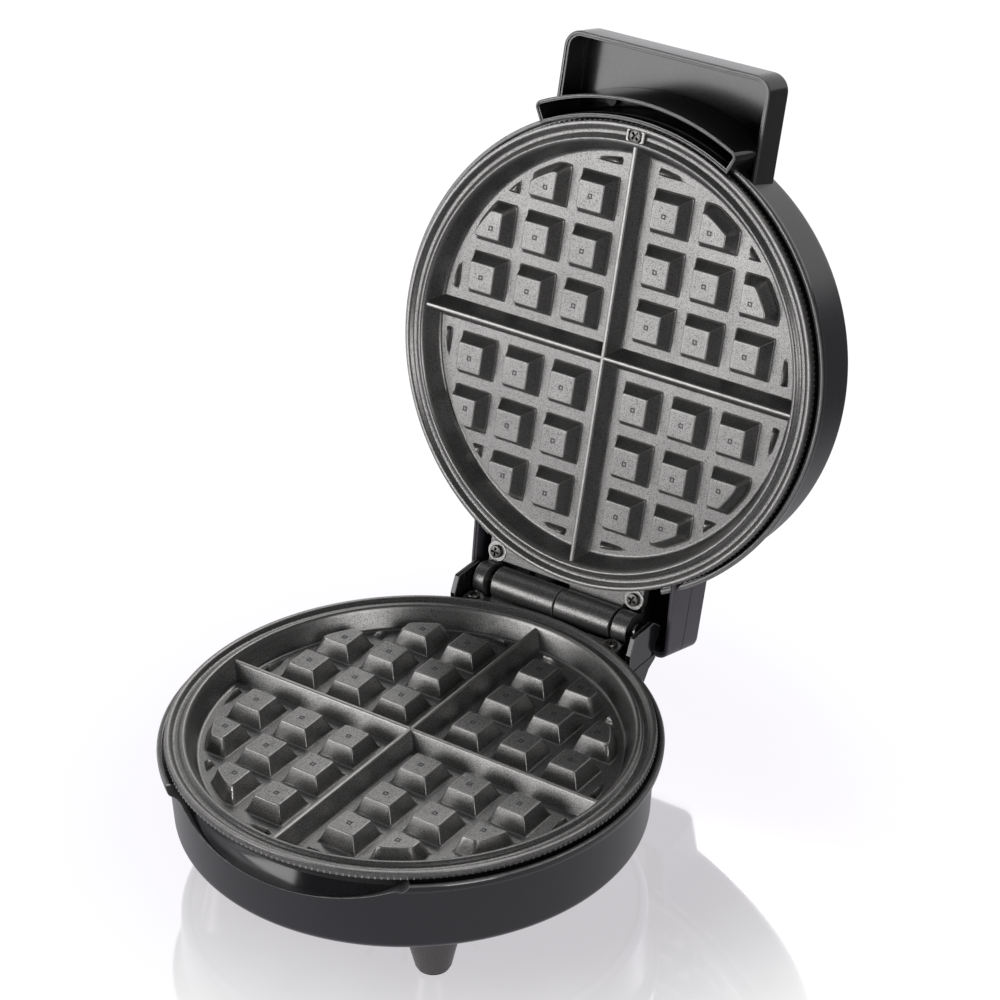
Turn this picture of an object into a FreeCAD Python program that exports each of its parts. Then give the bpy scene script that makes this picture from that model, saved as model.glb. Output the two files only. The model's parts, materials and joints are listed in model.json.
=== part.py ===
import FreeCAD, Part
import math
import os

# Round deep-pocket waffle maker, modelled open as it rests on a worktop.
# Millimetres, +Z up, front towards -Y, hinge at the rear.
# Every piece is first made around the parting plane: its centre is 0, 0, 0,
# the base is below it and the closed lid above it. Depth means the distance
# away from that plane, so base and lid share the same functions.

V = FreeCAD.Vector

# ---- main sizes ---------------------------------------------------------
PARTING_H = 65.0        # parting plane above the worktop
OPEN_DEG = 104.9        # how far the lid stands open
HINGE_Y = 116.0         # hinge axis, in the parting plane

# ---- baking plates ------------------------------------------------------
PITCH = 25.0            # stud grid
FIRST = 19.0            # first stud centre from the cross rib
STUD_TOP = 2.5          # depth of the stud tops
FLOOR_D = 10.1          # depth of the plate floor
STUD_HALF_TOP = 6.4
STUD_HALF_BASE = 9.4
STUD_CORNER = 1.4
TRIM_R_TOP = 85.1       # cone that trims the outer studs
TRIM_R_BASE = 88.3
RIB_D = 2.0             # depth of the rib crest
RIB_TOP = 0.9           # half widths of the cross rib
RIB_BASE = 4.2
FLOOR_R = 92.0
RIM_D = 0.3             # depth of the rim beads
BEAD_IN_R = 97.3
PLATE_R = 105.3
PLATE_T = 3.2           # casting wall

# ---- plate hinge --------------------------------------------------------
BARREL_R = 7.75
PIN_R = 2.5
PIN_GAP = 0.05          # radial running clearance
FLANGE_D = 3.4
FLANGE_T = 4.6
FLANGE_X = (-44.0, 39.0)
FLANGE_Y = 107.3
BASE_KNUCKLES = ((-34.0, -0.3), (31.0, 39.0))
LID_KNUCKLES = ((0.3, 29.6), (-44.0, -38.0))
FLANGE_SCREWS = ((-39.6, 103.2), (34.5, 103.4))

# ---- housings -----------------------------------------------------------
RIM_R = 108.4
RIM_TOP_D = 4.7
BAND_D = 8.4            # lower edge of the rim band
WALL_R_TOP = 104.2
WALL_R_BOT = 102.8
WALL_T = 2.4
BACK_D = 40.7
NOTCH_X = 45.2          # opening for the plate hinge
CHEEK_T = 2.6

# ---- lid nose and handle ------------------------------------------------
NOSE_ANGLE = 26.1       # half the sweep of the nose, degrees
NOSE_REACH = 116.5
NOSE_EDGE_D = -1.5
HANDLE_HALF = 52.5
HANDLE_REACH = 136.0
HANDLE_EDGE_D = 17.5
HANDLE_TOP_D = 34.7
HANDLE_T = 2.5
GRIP_SCREW_X = 30.0
GRIP_SCREW_Y = -107.4

# ---- rear cover ---------------------------------------------------------
COVER_HALF = 54.0
COVER_Y = 127.5
COVER_TOP_D = 33.5
COVER_T = 2.4

# ---- feet and fasteners -------------------------------------------------
FOOT_R_LOW = 7.0
FOOT_R_HIGH = 12.4
FOOT_SPOTS = {
    "foot_front_right": (55.0, -62.0),
    "foot_front_left": (-55.0, -62.0),
    "foot_rear_right": (30.0, 81.0),
    "foot_rear_left": (-30.0, 81.0),
}
PAD_H = 2.4
SCREW_R = 1.9
HEAD_R = 3.35
HEAD_H = 2.2
HEATER_R = 62.0
TUBE_R = 3.4
HEATER_DROP = 3.55      # heater centre below the back of the plate


# ---- small helpers ------------------------------------------------------
def box(x0, x1, y0, y1, z0, z1):
    return Part.makeBox(x1 - x0, y1 - y0, z1 - z0, V(x0, y0, z0))


def cyl(r, x, y, z0, z1):
    return Part.makeCylinder(r, z1 - z0, V(x, y, z0))


def revolve(points):
    """Turn a closed (radius, z) outline about the Z axis."""
    wire = Part.makePolygon([V(r, 0, z) for r, z in points + points[:1]])
    return Part.Face(wire).revolve(V(0, 0, 0), V(0, 0, 1), 360)


def prism_x(points, x0, x1):
    """Extrude a closed (y, z) outline along X."""
    wire = Part.makePolygon([V(x0, y, z) for y, z in points + points[:1]])
    return Part.Face(wire).extrude(V(x1 - x0, 0, 0))


def round_rect(half_x, half_y, r, cx, cy, z):
    """Wire of a rounded rectangle lying at height z."""
    x, y = half_x - r, half_y - r
    parts = []
    turns = ((x, y, 0), (-x, y, 90), (-x, -y, 180), (x, -y, 270))
    for i, (px, py, a0) in enumerate(turns):
        mid = V(cx + px, cy + py, z)
        arc = Part.Circle(mid, V(0, 0, 1), r)
        a, b = math.radians(a0), math.radians(a0 + 90)
        parts.append(Part.Arc(arc, a, b).toShape())
        qx, qy, q0 = turns[(i + 1) % 4]
        t = math.radians(q0)
        start = parts[-1].Vertexes[-1].Point
        end = V(cx + qx + r * math.cos(t), cy + qy + r * math.sin(t), z)
        parts.append(Part.makeLine(start, end))
    return Part.Wire(parts)


def fuse(shapes):
    return shapes[0].multiFuse(shapes[1:]).removeSplitter()


def flip(shape):
    """Mirror a base piece across the parting plane to make a lid piece."""
    return shape.mirror(V(0, 0, 0), V(0, 0, 1))


def pan_screw(x, y, head_z, length, slot=True):
    """Cross-head screw pointing down, its head standing on head_z."""
    body = cyl(SCREW_R, x, y, head_z - length, head_z + 0.2)
    head = cyl(HEAD_R, x, y, head_z, head_z + HEAD_H)
    head = head.makeFillet(0.8, [head.Edges[0]])
    screw = body.fuse(head)
    if slot:
        top = head_z + HEAD_H
        for a, b in ((2.2, 0.45), (0.45, 2.2)):
            cut = box(x - a, x + a, y - b, y + b, top - 1.1, top + 1)
            screw = screw.cut(cut)
    return screw


# ---- baking plate -------------------------------------------------------
def plate_disc():
    """Dish, rim with two beads and a groove, smooth underside."""
    under = FLOOR_D + PLATE_T
    outline = [
        (0, -FLOOR_D), (FLOOR_R, -FLOOR_D),
        (95.6, -2.3), (96.0, -RIM_D - 0.8), (96.5, -RIM_D),
        (98.0, -RIM_D), (98.7, -RIM_D - 0.7), (99.4, -2.1),
        (101.4, -2.1), (102.6, -RIM_D - 0.9), (103.3, -RIM_D),
        (104.7, -RIM_D), (PLATE_R, -RIM_D - 0.7),
        (PLATE_R, -3.7), (99.6, -5.3), (98.4, -6.4),
        (95.4, -under), (0, -under),
    ]
    return revolve(outline)


def stud(cx, cy):
    low = round_rect(STUD_HALF_BASE, STUD_HALF_BASE, STUD_CORNER,
                     cx, cy, -FLOOR_D - 0.2)
    high = round_rect(STUD_HALF_TOP, STUD_HALF_TOP, STUD_CORNER,
                      cx, cy, -STUD_TOP)
    return Part.makeLoft([low, high], True, True)


def studs():
    """Square studs of one quadrant, the outer ones trimmed by a cone."""
    rise = FLOOR_D - STUD_TOP
    grow = (TRIM_R_BASE - TRIM_R_TOP) / rise
    cone = Part.makeCone(TRIM_R_BASE + grow * 0.4, TRIM_R_TOP,
                         rise + 0.4, V(0, 0, -FLOOR_D - 0.4))
    found = []
    for i in range(4):
        for j in range(4):
            cx, cy = FIRST + i * PITCH, FIRST + j * PITCH
            inner = math.hypot(cx - STUD_HALF_BASE, cy - STUD_HALF_BASE)
            outer = math.hypot(cx + STUD_HALF_BASE, cy + STUD_HALF_BASE)
            if inner > TRIM_R_BASE - 2:
                continue
            one = stud(cx, cy)
            if outer > TRIM_R_TOP:
                one = one.common(cone)
            found.extend(one.Solids)
    return found


def cross_rib():
    """Two crossing ribs that split the waffle into quarters."""
    ends = BEAD_IN_R - 2.0
    arms = []
    for turn in (0, 90):
        low, top = -FLOOR_D - 0.2, -RIB_D
        face = [(-RIB_BASE, low), (RIB_BASE, low),
                (RIB_TOP, top), (-RIB_TOP, top)]
        arm = prism_x(face, -ends, ends)
        arm.rotate(V(0, 0, 0), V(0, 0, 1), turn)
        arms.append(arm)
    keep = Part.makeCone(FLOOR_R + 0.6, 96.3, FLOOR_D - RIB_D + 0.4,
                         V(0, 0, -FLOOR_D - 0.3))
    return [arm.common(keep) for arm in arms]


def hinge_side(knuckles, other):
    """Flange and knuckles on the rear of a plate."""
    x0, x1 = FLANGE_X
    top, low = -FLANGE_D, -FLANGE_D - FLANGE_T
    flange = box(x0, x1, 90, FLANGE_Y, low, top)
    parts = [flange]
    for a, b in knuckles:
        barrel = Part.makeCylinder(BARREL_R, b - a, V(a, HINGE_Y, 0),
                                   V(1, 0, 0))
        web = box(a, b, FLANGE_Y - 1, HINGE_Y, -BARREL_R, top)
        parts += [barrel, web]
    whole = fuse(parts)
    bore = Part.makeCylinder(PIN_R + PIN_GAP, 120, V(-60, HINGE_Y, 0),
                             V(1, 0, 0))
    whole = whole.cut(bore)
    for a, b in other:
        room = Part.makeCylinder(BARREL_R + 0.6, b - a + 0.5,
                                 V(a - 0.25, HINGE_Y, 0), V(1, 0, 0))
        whole = whole.cut(room)
    return whole


def heater_bed():
    """Cast ring under the plate with a half-round seat for the heater."""
    under = -FLOOR_D - PLATE_T
    ring = revolve([(HEATER_R - 7, under + 0.3), (HEATER_R + 7, under + 0.3),
                    (HEATER_R + 6, under - 3.2), (HEATER_R - 6, under - 3.2)])
    seat = Part.makeTorus(HEATER_R, TUBE_R + 0.1,
                          V(0, 0, under - HEATER_DROP))
    return ring.cut(seat)


def plate_posts():
    """Bosses that the housing screws and the heater clips go into."""
    under = -FLOOR_D - PLATE_T
    spots = [(0, 50.0)] + [(48 * math.cos(a), 48 * math.sin(a)) for a in
                           (math.radians(210), math.radians(330))]
    return [cyl(4.2, x, y, under - 3.2, under + 0.3) for x, y in spots]


def make_plate(knuckles, other, front_screw):
    quarter = studs()
    pieces = [plate_disc()] + cross_rib() + [heater_bed()] + plate_posts()
    for turn in (0, 90, 180, 270):
        for one in quarter:
            copy = one.copy()
            copy.rotate(V(0, 0, 0), V(0, 0, 1), turn)
            pieces.append(copy)
    pieces.append(hinge_side(knuckles, other))
    boss_low = -14.0
    if front_screw:
        pieces.append(box(-4.6, 4.6, -103.6, -97.4, -4.8, -RIM_D - 0.3))
    plate = fuse(pieces)
    for x, y in FLANGE_SCREWS:
        plate = plate.cut(cyl(SCREW_R + 0.3, x, y, boss_low, 0))
    if front_screw:
        plate = plate.cut(cyl(SCREW_R + 0.3, 0, -100.5, boss_low, 1))
        plate = plate.cut(cyl(HEAD_R + 0.3, 0, -100.5, -2.6, 1))
    return plate


# ---- heating system -----------------------------------------------------
def make_heater():
    """Open ring of tubular element with two down-turned cold ends."""
    z = -FLOOR_D - PLATE_T - HEATER_DROP
    gap = math.radians(20)
    start = V(HEATER_R * math.sin(gap), HEATER_R * math.cos(gap), z)
    face = Part.Face(Part.Wire(Part.makeCircle(
        TUBE_R, start, V(math.cos(gap), -math.sin(gap), 0))))
    ring = face.revolve(V(0, 0, 0), V(0, 0, -1), 320)
    ends = []
    for side in (-1, 1):
        x, y = side * start.x, start.y
        ends.append(Part.makeSphere(TUBE_R, V(x, y, z)))
        ends.append(cyl(TUBE_R, x, y, z - 13, z))
        ends.append(cyl(1.2, x, y, z - 19, z - 12.5))
    return fuse([ring] + ends)


def make_reflector():
    """Thin pressed dish between the heater and the housing."""
    top = -FLOOR_D - PLATE_T - 9.0
    t = 0.8
    dish = revolve([(0, top - t), (80, top - t), (86, top + 6 - t),
                    (90, top + 6 - t), (90, top + 6), (85.5, top + 6),
                    (79.6, top), (0, top)])
    x = HEATER_R * math.sin(math.radians(20))
    y = HEATER_R * math.cos(math.radians(20))
    for side in (-1, 1):
        dish = dish.cut(cyl(5.5, side * x, y, top - 5, top + 8))
    for hx, hy in ((-24, 0), (24, 20)):
        dish = dish.cut(cyl(13.5, hx, hy, top - 5, top + 8))
    return dish


def make_clamps():
    """Three strap clips that hold the element up in its seat."""
    z = -FLOOR_D - PLATE_T - HEATER_DROP
    out = []
    for deg in (90, 210, 330):
        reach = 50.0 if deg == 90 else 48.0
        strap = box(reach - 6, HEATER_R + 3.5, -4, 4, z - 1.6, z - 0.1)
        groove = Part.makeTorus(HEATER_R, TUBE_R + 0.1, V(0, 0, z))
        saddle = Part.makeTorus(HEATER_R, TUBE_R + 1.5, V(0, 0, z))
        wedge = box(HEATER_R - 6, HEATER_R + 6, -4, 4, z - 6, z - 0.1)
        arch = saddle.common(wedge).cut(groove)
        clip = strap.cut(groove).fuse(arch)
        head = cyl(3.2, reach, 0, z - 3.6, z - 1.5)
        clip = clip.fuse(head).removeSplitter()
        clip.rotate(V(0, 0, 0), V(0, 0, 1), deg)
        out += sorted(clip.Solids, key=lambda s: -s.Volume)[:1]
    return Part.makeCompound(out)


def make_thermostat():
    """Bimetal thermostat: ceramic body, steel cap and two blades."""
    z = -FLOOR_D - PLATE_T
    parts = [cyl(11.5, -24, 0, z - 5, z - 0.1), cyl(9.5, -24, 0, z - 16, z - 4.9)]
    for y in (-5, 5):
        parts.append(box(-27, -21, y - 0.4, y + 0.4, z - 22, z - 15.9))
    return fuse(parts)


def make_fuse():
    """Thermal cut-out in its sleeve beside the thermostat."""
    z = -FLOOR_D - PLATE_T - 4.2
    tube = Part.makeCylinder(3.0, 22, V(13, 20, z), V(1, 0, 0))
    caps = [Part.makeCylinder(1.0, 34, V(7, 20, z), V(1, 0, 0))]
    return fuse([tube] + caps)


# ---- housings -----------------------------------------------------------
def housing_outline():
    return [
        (0, -RIM_TOP_D), (RIM_R - 0.7, -RIM_TOP_D),
        (RIM_R, -RIM_TOP_D - 0.7), (RIM_R - 0.3, -BAND_D + 0.6),
        (RIM_R - 1.1, -BAND_D), (WALL_R_TOP + 0.9, -BAND_D - 1.1),
        (WALL_R_TOP, -BAND_D - 3.0), (WALL_R_BOT, -BACK_D + 3.6),
        (WALL_R_BOT - 0.9, -BACK_D + 1.4), (WALL_R_BOT - 3.2, -BACK_D),
        (0, -BACK_D),
    ]


def cavity_outline(back):
    low = -BACK_D + back
    return [
        (0, 0), (RIM_R - WALL_T, 0), (RIM_R - WALL_T, -BAND_D),
        (WALL_R_TOP - WALL_T, -BAND_D - 3.4),
        (WALL_R_BOT - WALL_T, low + 2.0),
        (WALL_R_BOT - WALL_T - 2.0, low), (0, low),
    ]


def scoop(offset):
    """Smile-shaped finger recess in the front of the base."""
    half = 62.0 + offset
    drop = 15.6 + offset
    path = Part.Ellipse(V(0, 0, 0), half, drop).toShape()
    face = Part.Face(Part.Wire(path))
    face.rotate(V(0, 0, 0), V(1, 0, 0), 90)
    smile = face.extrude(V(0, -130, 0))
    smile.translate(V(0, 0, -RIM_TOP_D + 1.4))
    ring = revolve([
        (130, 3), (101.6 - offset, 3), (101.6 - offset, -9.0),
        (101.9 - offset, -12.5), (102.6 - offset, -15.5),
        (104.4 - offset, -20.5), (130, -20.5)])
    return ring.common(smile)


def hinge_notch():
    return box(-NOTCH_X, NOTCH_X, 88, 132, -9.4, 20)


def plate_room():
    """The space a baking plate takes in its housing, with a small gap."""
    return revolve([
        (0, 1), (PLATE_R + 0.3, 1), (PLATE_R + 0.3, -3.95), (99.8, -5.6),
        (98.7, -6.65), (95.7, -13.6), (0, -13.6)])


def make_lower_housing():
    body = revolve(housing_outline()).cut(scoop(0))
    bracket = prism_x([(92, -9.6), (112.6, -9.6), (112.6, -15.0),
                       (103.5, -27.0), (92, -27.0)], -49.2, 49.2)
    body = body.fuse(bracket)
    room = revolve(cavity_outline(0)).cut(scoop(WALL_T))
    shell = body.cut(room)
    seat = revolve([(93.0, -BACK_D + 2.4), (101.6, -BACK_D + 2.4),
                    (101.6, -BACK_D + 4.6), (93.0, -BACK_D + 4.6)])
    foot_r = 4.2
    parts = [shell, seat]
    for x, y in FOOT_SPOTS.values():
        post = cyl(foot_r, x, y, -BACK_D + 2.4, -BACK_D + 9)
        arm = box(0, 22, -1.2, 1.2, -BACK_D + 2.4, -BACK_D + 4.6)
        arm.rotate(V(0, 0, 0), V(0, 0, 1), math.degrees(math.atan2(y, x)))
        arm.translate(V(x, y, 0))
        limit = revolve([(0, -BACK_D + 2), (101.5, -BACK_D + 2),
                         (101.5, -BACK_D + 10), (0, -BACK_D + 10)])
        parts += [post, arm.common(limit)]
    shelf = prism_x([(90, -12.2), (112.0, -12.2), (112.0, -15.2),
                     (90, -15.2)], -48, 48)
    parts.append(shelf.cut(cyl(88.5, 0, 0, -40, 0)))
    whole = fuse(parts)
    whole = whole.cut(hinge_notch())
    for side in (-1, 1):
        x0 = side * 47.2 - CHEEK_T / 2
        cheek = prism_x([(97.0, -12), (97.6, -1.0), (101.5, 6.8),
                         (117.0, 6.8), (122.3, 2.6), (121.0, -2.2),
                         (112.6, -12)], x0, x0 + CHEEK_T)
        whole = whole.fuse(cheek)
    gland = Part.makeCylinder(5.0, 30, V(0, 90, -33.5), V(0, 1, 0))
    flat = box(-9, 9, 101.6, 104.6, -39.0, -27.5)
    whole = whole.fuse(flat).cut(gland).removeSplitter()
    whole = whole.cut(plate_room())
    whole = whole.cut(box(-7.5, 7.5, 92, 99.8, -42, -26.5))
    for x, y in FOOT_SPOTS.values():
        whole = whole.cut(cyl(1.7, x, y, -BACK_D, -BACK_D + 12))
    for x, y in FLANGE_SCREWS:
        post = cyl(4.6, x, y, -16, -FLANGE_D - FLANGE_T - 0.1)
        whole = whole.fuse(post.cut(cyl(1.7, x, y, -20, 0)))
        whole = whole.cut(cyl(SCREW_R + 0.05, x, y, -30, 0))
    return whole


def make_bottom_cover():
    """Vented steel disc that closes the base."""
    low, top = -BACK_D + 0.2, -BACK_D + 2.3
    disc = cyl(98.2, 0, 0, low, top)
    disc = disc.makeChamfer(0.5, [disc.Edges[2]])
    disc = disc.cut(box(-7.2, 7.2, 96.0, 100, low - 1, top + 1))
    for ring_r, count in ((30.0, 12), (44.0, 18)):
        for i in range(count):
            slot = box(ring_r - 4.5, ring_r + 4.5, -1.5, 1.5, low - 1, top + 1)
            slot.rotate(V(0, 0, 0), V(0, 0, 1), i * 360.0 / count)
            disc = disc.cut(slot)
    for x, y in FOOT_SPOTS.values():
        disc = disc.cut(cyl(2.1, x, y, low - 1, top + 1))
    return disc


def make_foot(x, y):
    top, low = -BACK_D + 0.1, -PARTING_H
    cone = Part.makeCone(FOOT_R_LOW, FOOT_R_HIGH, top - low - PAD_H,
                         V(x, y, low + PAD_H))
    cone = cone.cut(cyl(FOOT_R_LOW - 1.9, x, y, low, low + PAD_H + 1.6))
    cone = cone.cut(cyl(2.1, x, y, low, top + 1))
    return cone.cut(cyl(4.0, x, y, low, low + 9.0))


def make_pads():
    out = []
    low = -PARTING_H
    for x, y in FOOT_SPOTS.values():
        pad = cyl(FOOT_R_LOW - 0.1, x, y, low, low + PAD_H - 0.1)
        pad = pad.makeFillet(0.5, [pad.Edges[2]])
        plug = cyl(FOOT_R_LOW - 2.0, x, y, low + 1, low + PAD_H + 1.4)
        out.append(pad.fuse(plug).removeSplitter())
    return Part.makeCompound(out)


def make_foot_screws():
    out = []
    for x, y in FOOT_SPOTS.values():
        z = -PARTING_H + 8.95
        head = cyl(3.6, x, y, z - 2.2, z)
        shank = cyl(1.7, x, y, z - 0.5, -BACK_D + 8.0)
        out.append(head.fuse(shank).removeSplitter())
    return Part.makeCompound(out)


def make_plate_screws(front):
    out = []
    for x, y in FLANGE_SCREWS:
        out.append(pan_screw(x, y, -FLANGE_D + 0.05, 13))
    if front:
        out.append(pan_screw(0, -100.5, -2.55, 15))
    return Part.makeCompound(out)


def make_gland():
    """Flanged bushing in the rear wall that the mains lead passes."""
    barrel = Part.makeCylinder(4.9, 9.0, V(0, 98.6, -33.5), V(0, 1, 0))
    lip = Part.makeCylinder(6.6, 2.2, V(0, 104.7, -33.5), V(0, 1, 0))
    lip = lip.makeFillet(0.6, [lip.Edges[0]])
    clip = Part.makeCylinder(6.0, 1.6, V(0, 97.2, -33.5), V(0, 1, 0))
    bore = Part.makeCylinder(3.6, 20, V(0, 92, -33.5), V(0, 1, 0))
    return fuse([barrel, lip, clip]).cut(bore)


def make_terminal_block():
    block = box(-18, 18, 58, 72, -BACK_D + 2.5, -BACK_D + 11.0)
    for i in range(3):
        x = -12 + 12 * i
        block = block.cut(cyl(2.4, x, 65, -BACK_D + 6, -BACK_D + 20))
        wire_way = Part.makeCylinder(1.8, 30, V(x, 50, -BACK_D + 5.6),
                                     V(0, 1, 0))
        block = block.cut(wire_way)
    return block


def make_pin():
    x0, x1 = FLANGE_X[0] - 0.9, FLANGE_X[1] + 0.9
    rod = Part.makeCylinder(PIN_R, x1 - x0, V(x0, HINGE_Y, 0), V(1, 0, 0))
    head = Part.makeCylinder(3.6, 1.2, V(x1 - 0.2, HINGE_Y, 0), V(1, 0, 0))
    return rod.fuse(head).removeSplitter()


# ---- lid pieces (made like base pieces, then flipped) -------------------
def nose_plan(grow, z0, z1):
    """Ring sector in plan, standing out past the rim at the front."""
    reach = NOSE_REACH + grow
    turn = math.radians(NOSE_ANGLE) + grow / RIM_R

    def at(r, a):
        return V(r * math.sin(a), -r * math.cos(a), z0)

    arc = Part.Arc(at(reach, -turn), at(reach, 0), at(reach, turn))
    edges = [arc.toShape(),
             Part.makeLine(at(reach, turn), at(60, turn)),
             Part.makeLine(at(60, turn), at(60, -turn)),
             Part.makeLine(at(60, -turn), at(reach, -turn))]
    return Part.Face(Part.Wire(edges)).extrude(V(0, 0, z1 - z0))


def make_upper_housing():
    body = revolve(housing_outline())
    ring = revolve([(100.6, -NOSE_EDGE_D), (130, -NOSE_EDGE_D),
                    (130, -HANDLE_TOP_D + 2.6), (100.6, -HANDLE_TOP_D + 2.6)])
    nose = nose_plan(0, -HANDLE_TOP_D + 2.6, -NOSE_EDGE_D).common(ring)
    hollow = nose_plan(-1.8, -HANDLE_TOP_D + 6, -NOSE_EDGE_D + 1)
    inner = revolve([(RIM_R, 5), (130, 5), (130, -HANDLE_TOP_D + 6),
                     (RIM_R, -HANDLE_TOP_D + 6)])
    hollow = hollow.common(inner)
    above = revolve([(0, -RIM_TOP_D + 0.01), (RIM_R, -RIM_TOP_D + 0.01),
                     (RIM_R, 5), (0, 5)])
    nose = nose.cut(hollow).cut(above)
    whole = body.fuse(nose).cut(revolve(cavity_outline(2.4)))
    notch = hinge_notch()
    parts = [whole.cut(notch)]
    for x, y in FLANGE_SCREWS:
        parts.append(cyl(4.6, x, y, -40, -FLANGE_D - FLANGE_T - 0.1))
    parts.append(cyl(4.6, 0, -97.0, -40, -8.2))
    back = box(-44, 44, 96, 104.0, -31, -9.4)
    parts.append(back.cut(cyl(100.5, 0, 0, -45, 0)))
    whole = fuse(parts)
    limit = revolve(housing_outline()).fuse(nose).fuse(
        cyl(5.0, FLANGE_SCREWS[0][0], FLANGE_SCREWS[0][1], -31, -8.1)).fuse(
        cyl(5.0, FLANGE_SCREWS[1][0], FLANGE_SCREWS[1][1], -31, -8.1)).fuse(
        box(-44, 44, 96, 104.0, -31, -9.4))
    whole = whole.common(limit)
    whole = whole.cut(plate_room())
    for x, y in FLANGE_SCREWS + ((0, -100.5),):
        whole = whole.cut(cyl(SCREW_R + 0.05, x, y, -24, 0))
    for x in (-20, 20):
        whole = whole.cut(cyl(4.1, x, 40, -60, -20))
    for x in (-30, 30):
        tap = Part.makeCylinder(1.7, 40, V(x, 80, -21), V(0, 1, 0))
        whole = whole.cut(tap)
    for x in (-GRIP_SCREW_X, GRIP_SCREW_X):
        whole = whole.cut(cyl(1.7, x, GRIP_SCREW_Y, -36, -20))
    return whole


def make_handle():
    """Hollow hood that overhangs the nose: the grip of the lid."""
    low, top = -HANDLE_TOP_D, -HANDLE_EDGE_D
    mid = (HANDLE_REACH + 60) / 2.0
    half = (HANDLE_REACH - 60) / 2.0
    outer = Part.Face(round_rect(HANDLE_HALF, half, 8.0, 0, -mid, low))
    outer = outer.extrude(V(0, 0, top - low))
    inner = Part.Face(round_rect(HANDLE_HALF - HANDLE_T, half - HANDLE_T,
                                 5.5, 0, -mid, low + HANDLE_T))
    inner = inner.extrude(V(0, 0, 40))
    hood = outer.cut(inner)
    grown = [(r + 0.25, z) for r, z in housing_outline()]
    grown[0] = (0, -RIM_TOP_D)
    grown[-1] = (0, -BACK_D)
    hood = hood.cut(revolve(grown))
    hood = hood.cut(nose_plan(0.25, -HANDLE_TOP_D + 2.5, 5))
    for x in (-GRIP_SCREW_X, GRIP_SCREW_X):
        hood = hood.cut(cyl(1.6, x, GRIP_SCREW_Y, -34.0, -20))
    front = [s for s in hood.Solids if s.CenterOfMass.y < -90]
    return max(front, key=lambda s: s.Volume).removeSplitter()


def make_rear_cover():
    """Boxy hood behind the lid that hides the hinge and the leads."""
    y0, y1 = 84.0, COVER_Y
    side = [(y0, -1.6), (y1, -7.0), (y1, -COVER_TOP_D), (y0, -COVER_TOP_D)]
    body = prism_x(side, -COVER_HALF, COVER_HALF)
    picks = []
    for e in body.Edges:
        a, b = e.Vertexes[0].Point, e.Vertexes[-1].Point
        if abs(a.y - y1) < 0.01 and abs(b.y - y1) < 0.01:
            if abs(a.z + 7.0) > 0.01 or abs(b.z + 7.0) > 0.01:
                picks.append(e)
    body = body.makeFillet(5.0, picks)
    t = COVER_T
    side = [(60, 5), (y1 - t, 5), (y1 - t, -COVER_TOP_D + t),
            (60, -COVER_TOP_D + t)]
    inner = prism_x(side, -COVER_HALF + t, COVER_HALF - t)
    picks = []
    for e in inner.Edges:
        a, b = e.Vertexes[0].Point, e.Vertexes[-1].Point
        if abs(a.y - y1 + t) < 0.01 and abs(b.y - y1 + t) < 0.01:
            if a.z < 4 or b.z < 4:
                picks.append(e)
    inner = inner.makeFillet(2.6, picks)
    grown = [(r + 0.25, z) for r, z in housing_outline()]
    grown[0] = (0, -RIM_TOP_D + 5)
    grown[1] = (RIM_R - 0.4, -RIM_TOP_D + 5)
    grown[-1] = (0, -BACK_D)
    cover = body.cut(inner).cut(revolve(grown))
    for x in (-30, 30):
        post = Part.makeCylinder(4.2, 21.2, V(x, 104.3, -21), V(0, 1, 0))
        cover = cover.fuse(post)
        hole = Part.makeCylinder(1.9, 60, V(x, 90, -21), V(0, 1, 0))
        sink = Part.makeCylinder(3.9, 20, V(x, 124.4, -21), V(0, 1, 0))
        cover = cover.cut(hole).cut(sink)
    cover = cover.cut(box(-44.3, 44.3, 95, 104.3, -31.3, 0))
    for x, y in FLANGE_SCREWS:
        cover = cover.cut(cyl(4.9, x, y, -31.3, 0))
    return max(cover.Solids, key=lambda s: s.Volume).removeSplitter()


def make_cover_screws():
    out = []
    for x in (-30, 30):
        head = Part.makeCylinder(3.6, 2.0, V(x, 122.3, -21), V(0, 1, 0))
        head.translate(V(0, 2.1, 0))
        shank = Part.makeCylinder(1.65, 26, V(x, 98.6, -21), V(0, 1, 0))
        out.append(head.fuse(shank).removeSplitter())
    return Part.makeCompound(out)


def make_handle_screws():
    out = []
    seat = -HANDLE_TOP_D + 6.05
    for x in (-GRIP_SCREW_X, GRIP_SCREW_X):
        head = cyl(2.5, x, GRIP_SCREW_Y, seat, seat + 1.6)
        shank = cyl(1.4, x, GRIP_SCREW_Y, -33.9, seat + 0.5)
        out.append(head.fuse(shank).removeSplitter())
    return Part.makeCompound(out)


def make_lens(x):
    """Domed lamp window in the back of the lid."""
    stem = cyl(4.0, x, 40, -BACK_D - 0.4, -BACK_D + 5.5)
    ball = Part.makeSphere(6.5, V(x, 40, -BACK_D + 4.2))
    dome = ball.common(cyl(4.0, x, 40, -BACK_D - 4, -BACK_D + 4))
    collar = cyl(5.4, x, 40, -BACK_D + 2.5, -BACK_D + 4.0)
    return fuse([stem, dome, collar])


def make_lamp_holder():
    holder = box(-30, 30, 33, 47, -BACK_D + 8.0, -BACK_D + 12.5)
    bulbs = [cyl(2.6, x, 40, -BACK_D + 5.7, -BACK_D + 8.2) for x in (-20, 20)]
    return fuse([holder] + bulbs)


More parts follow.
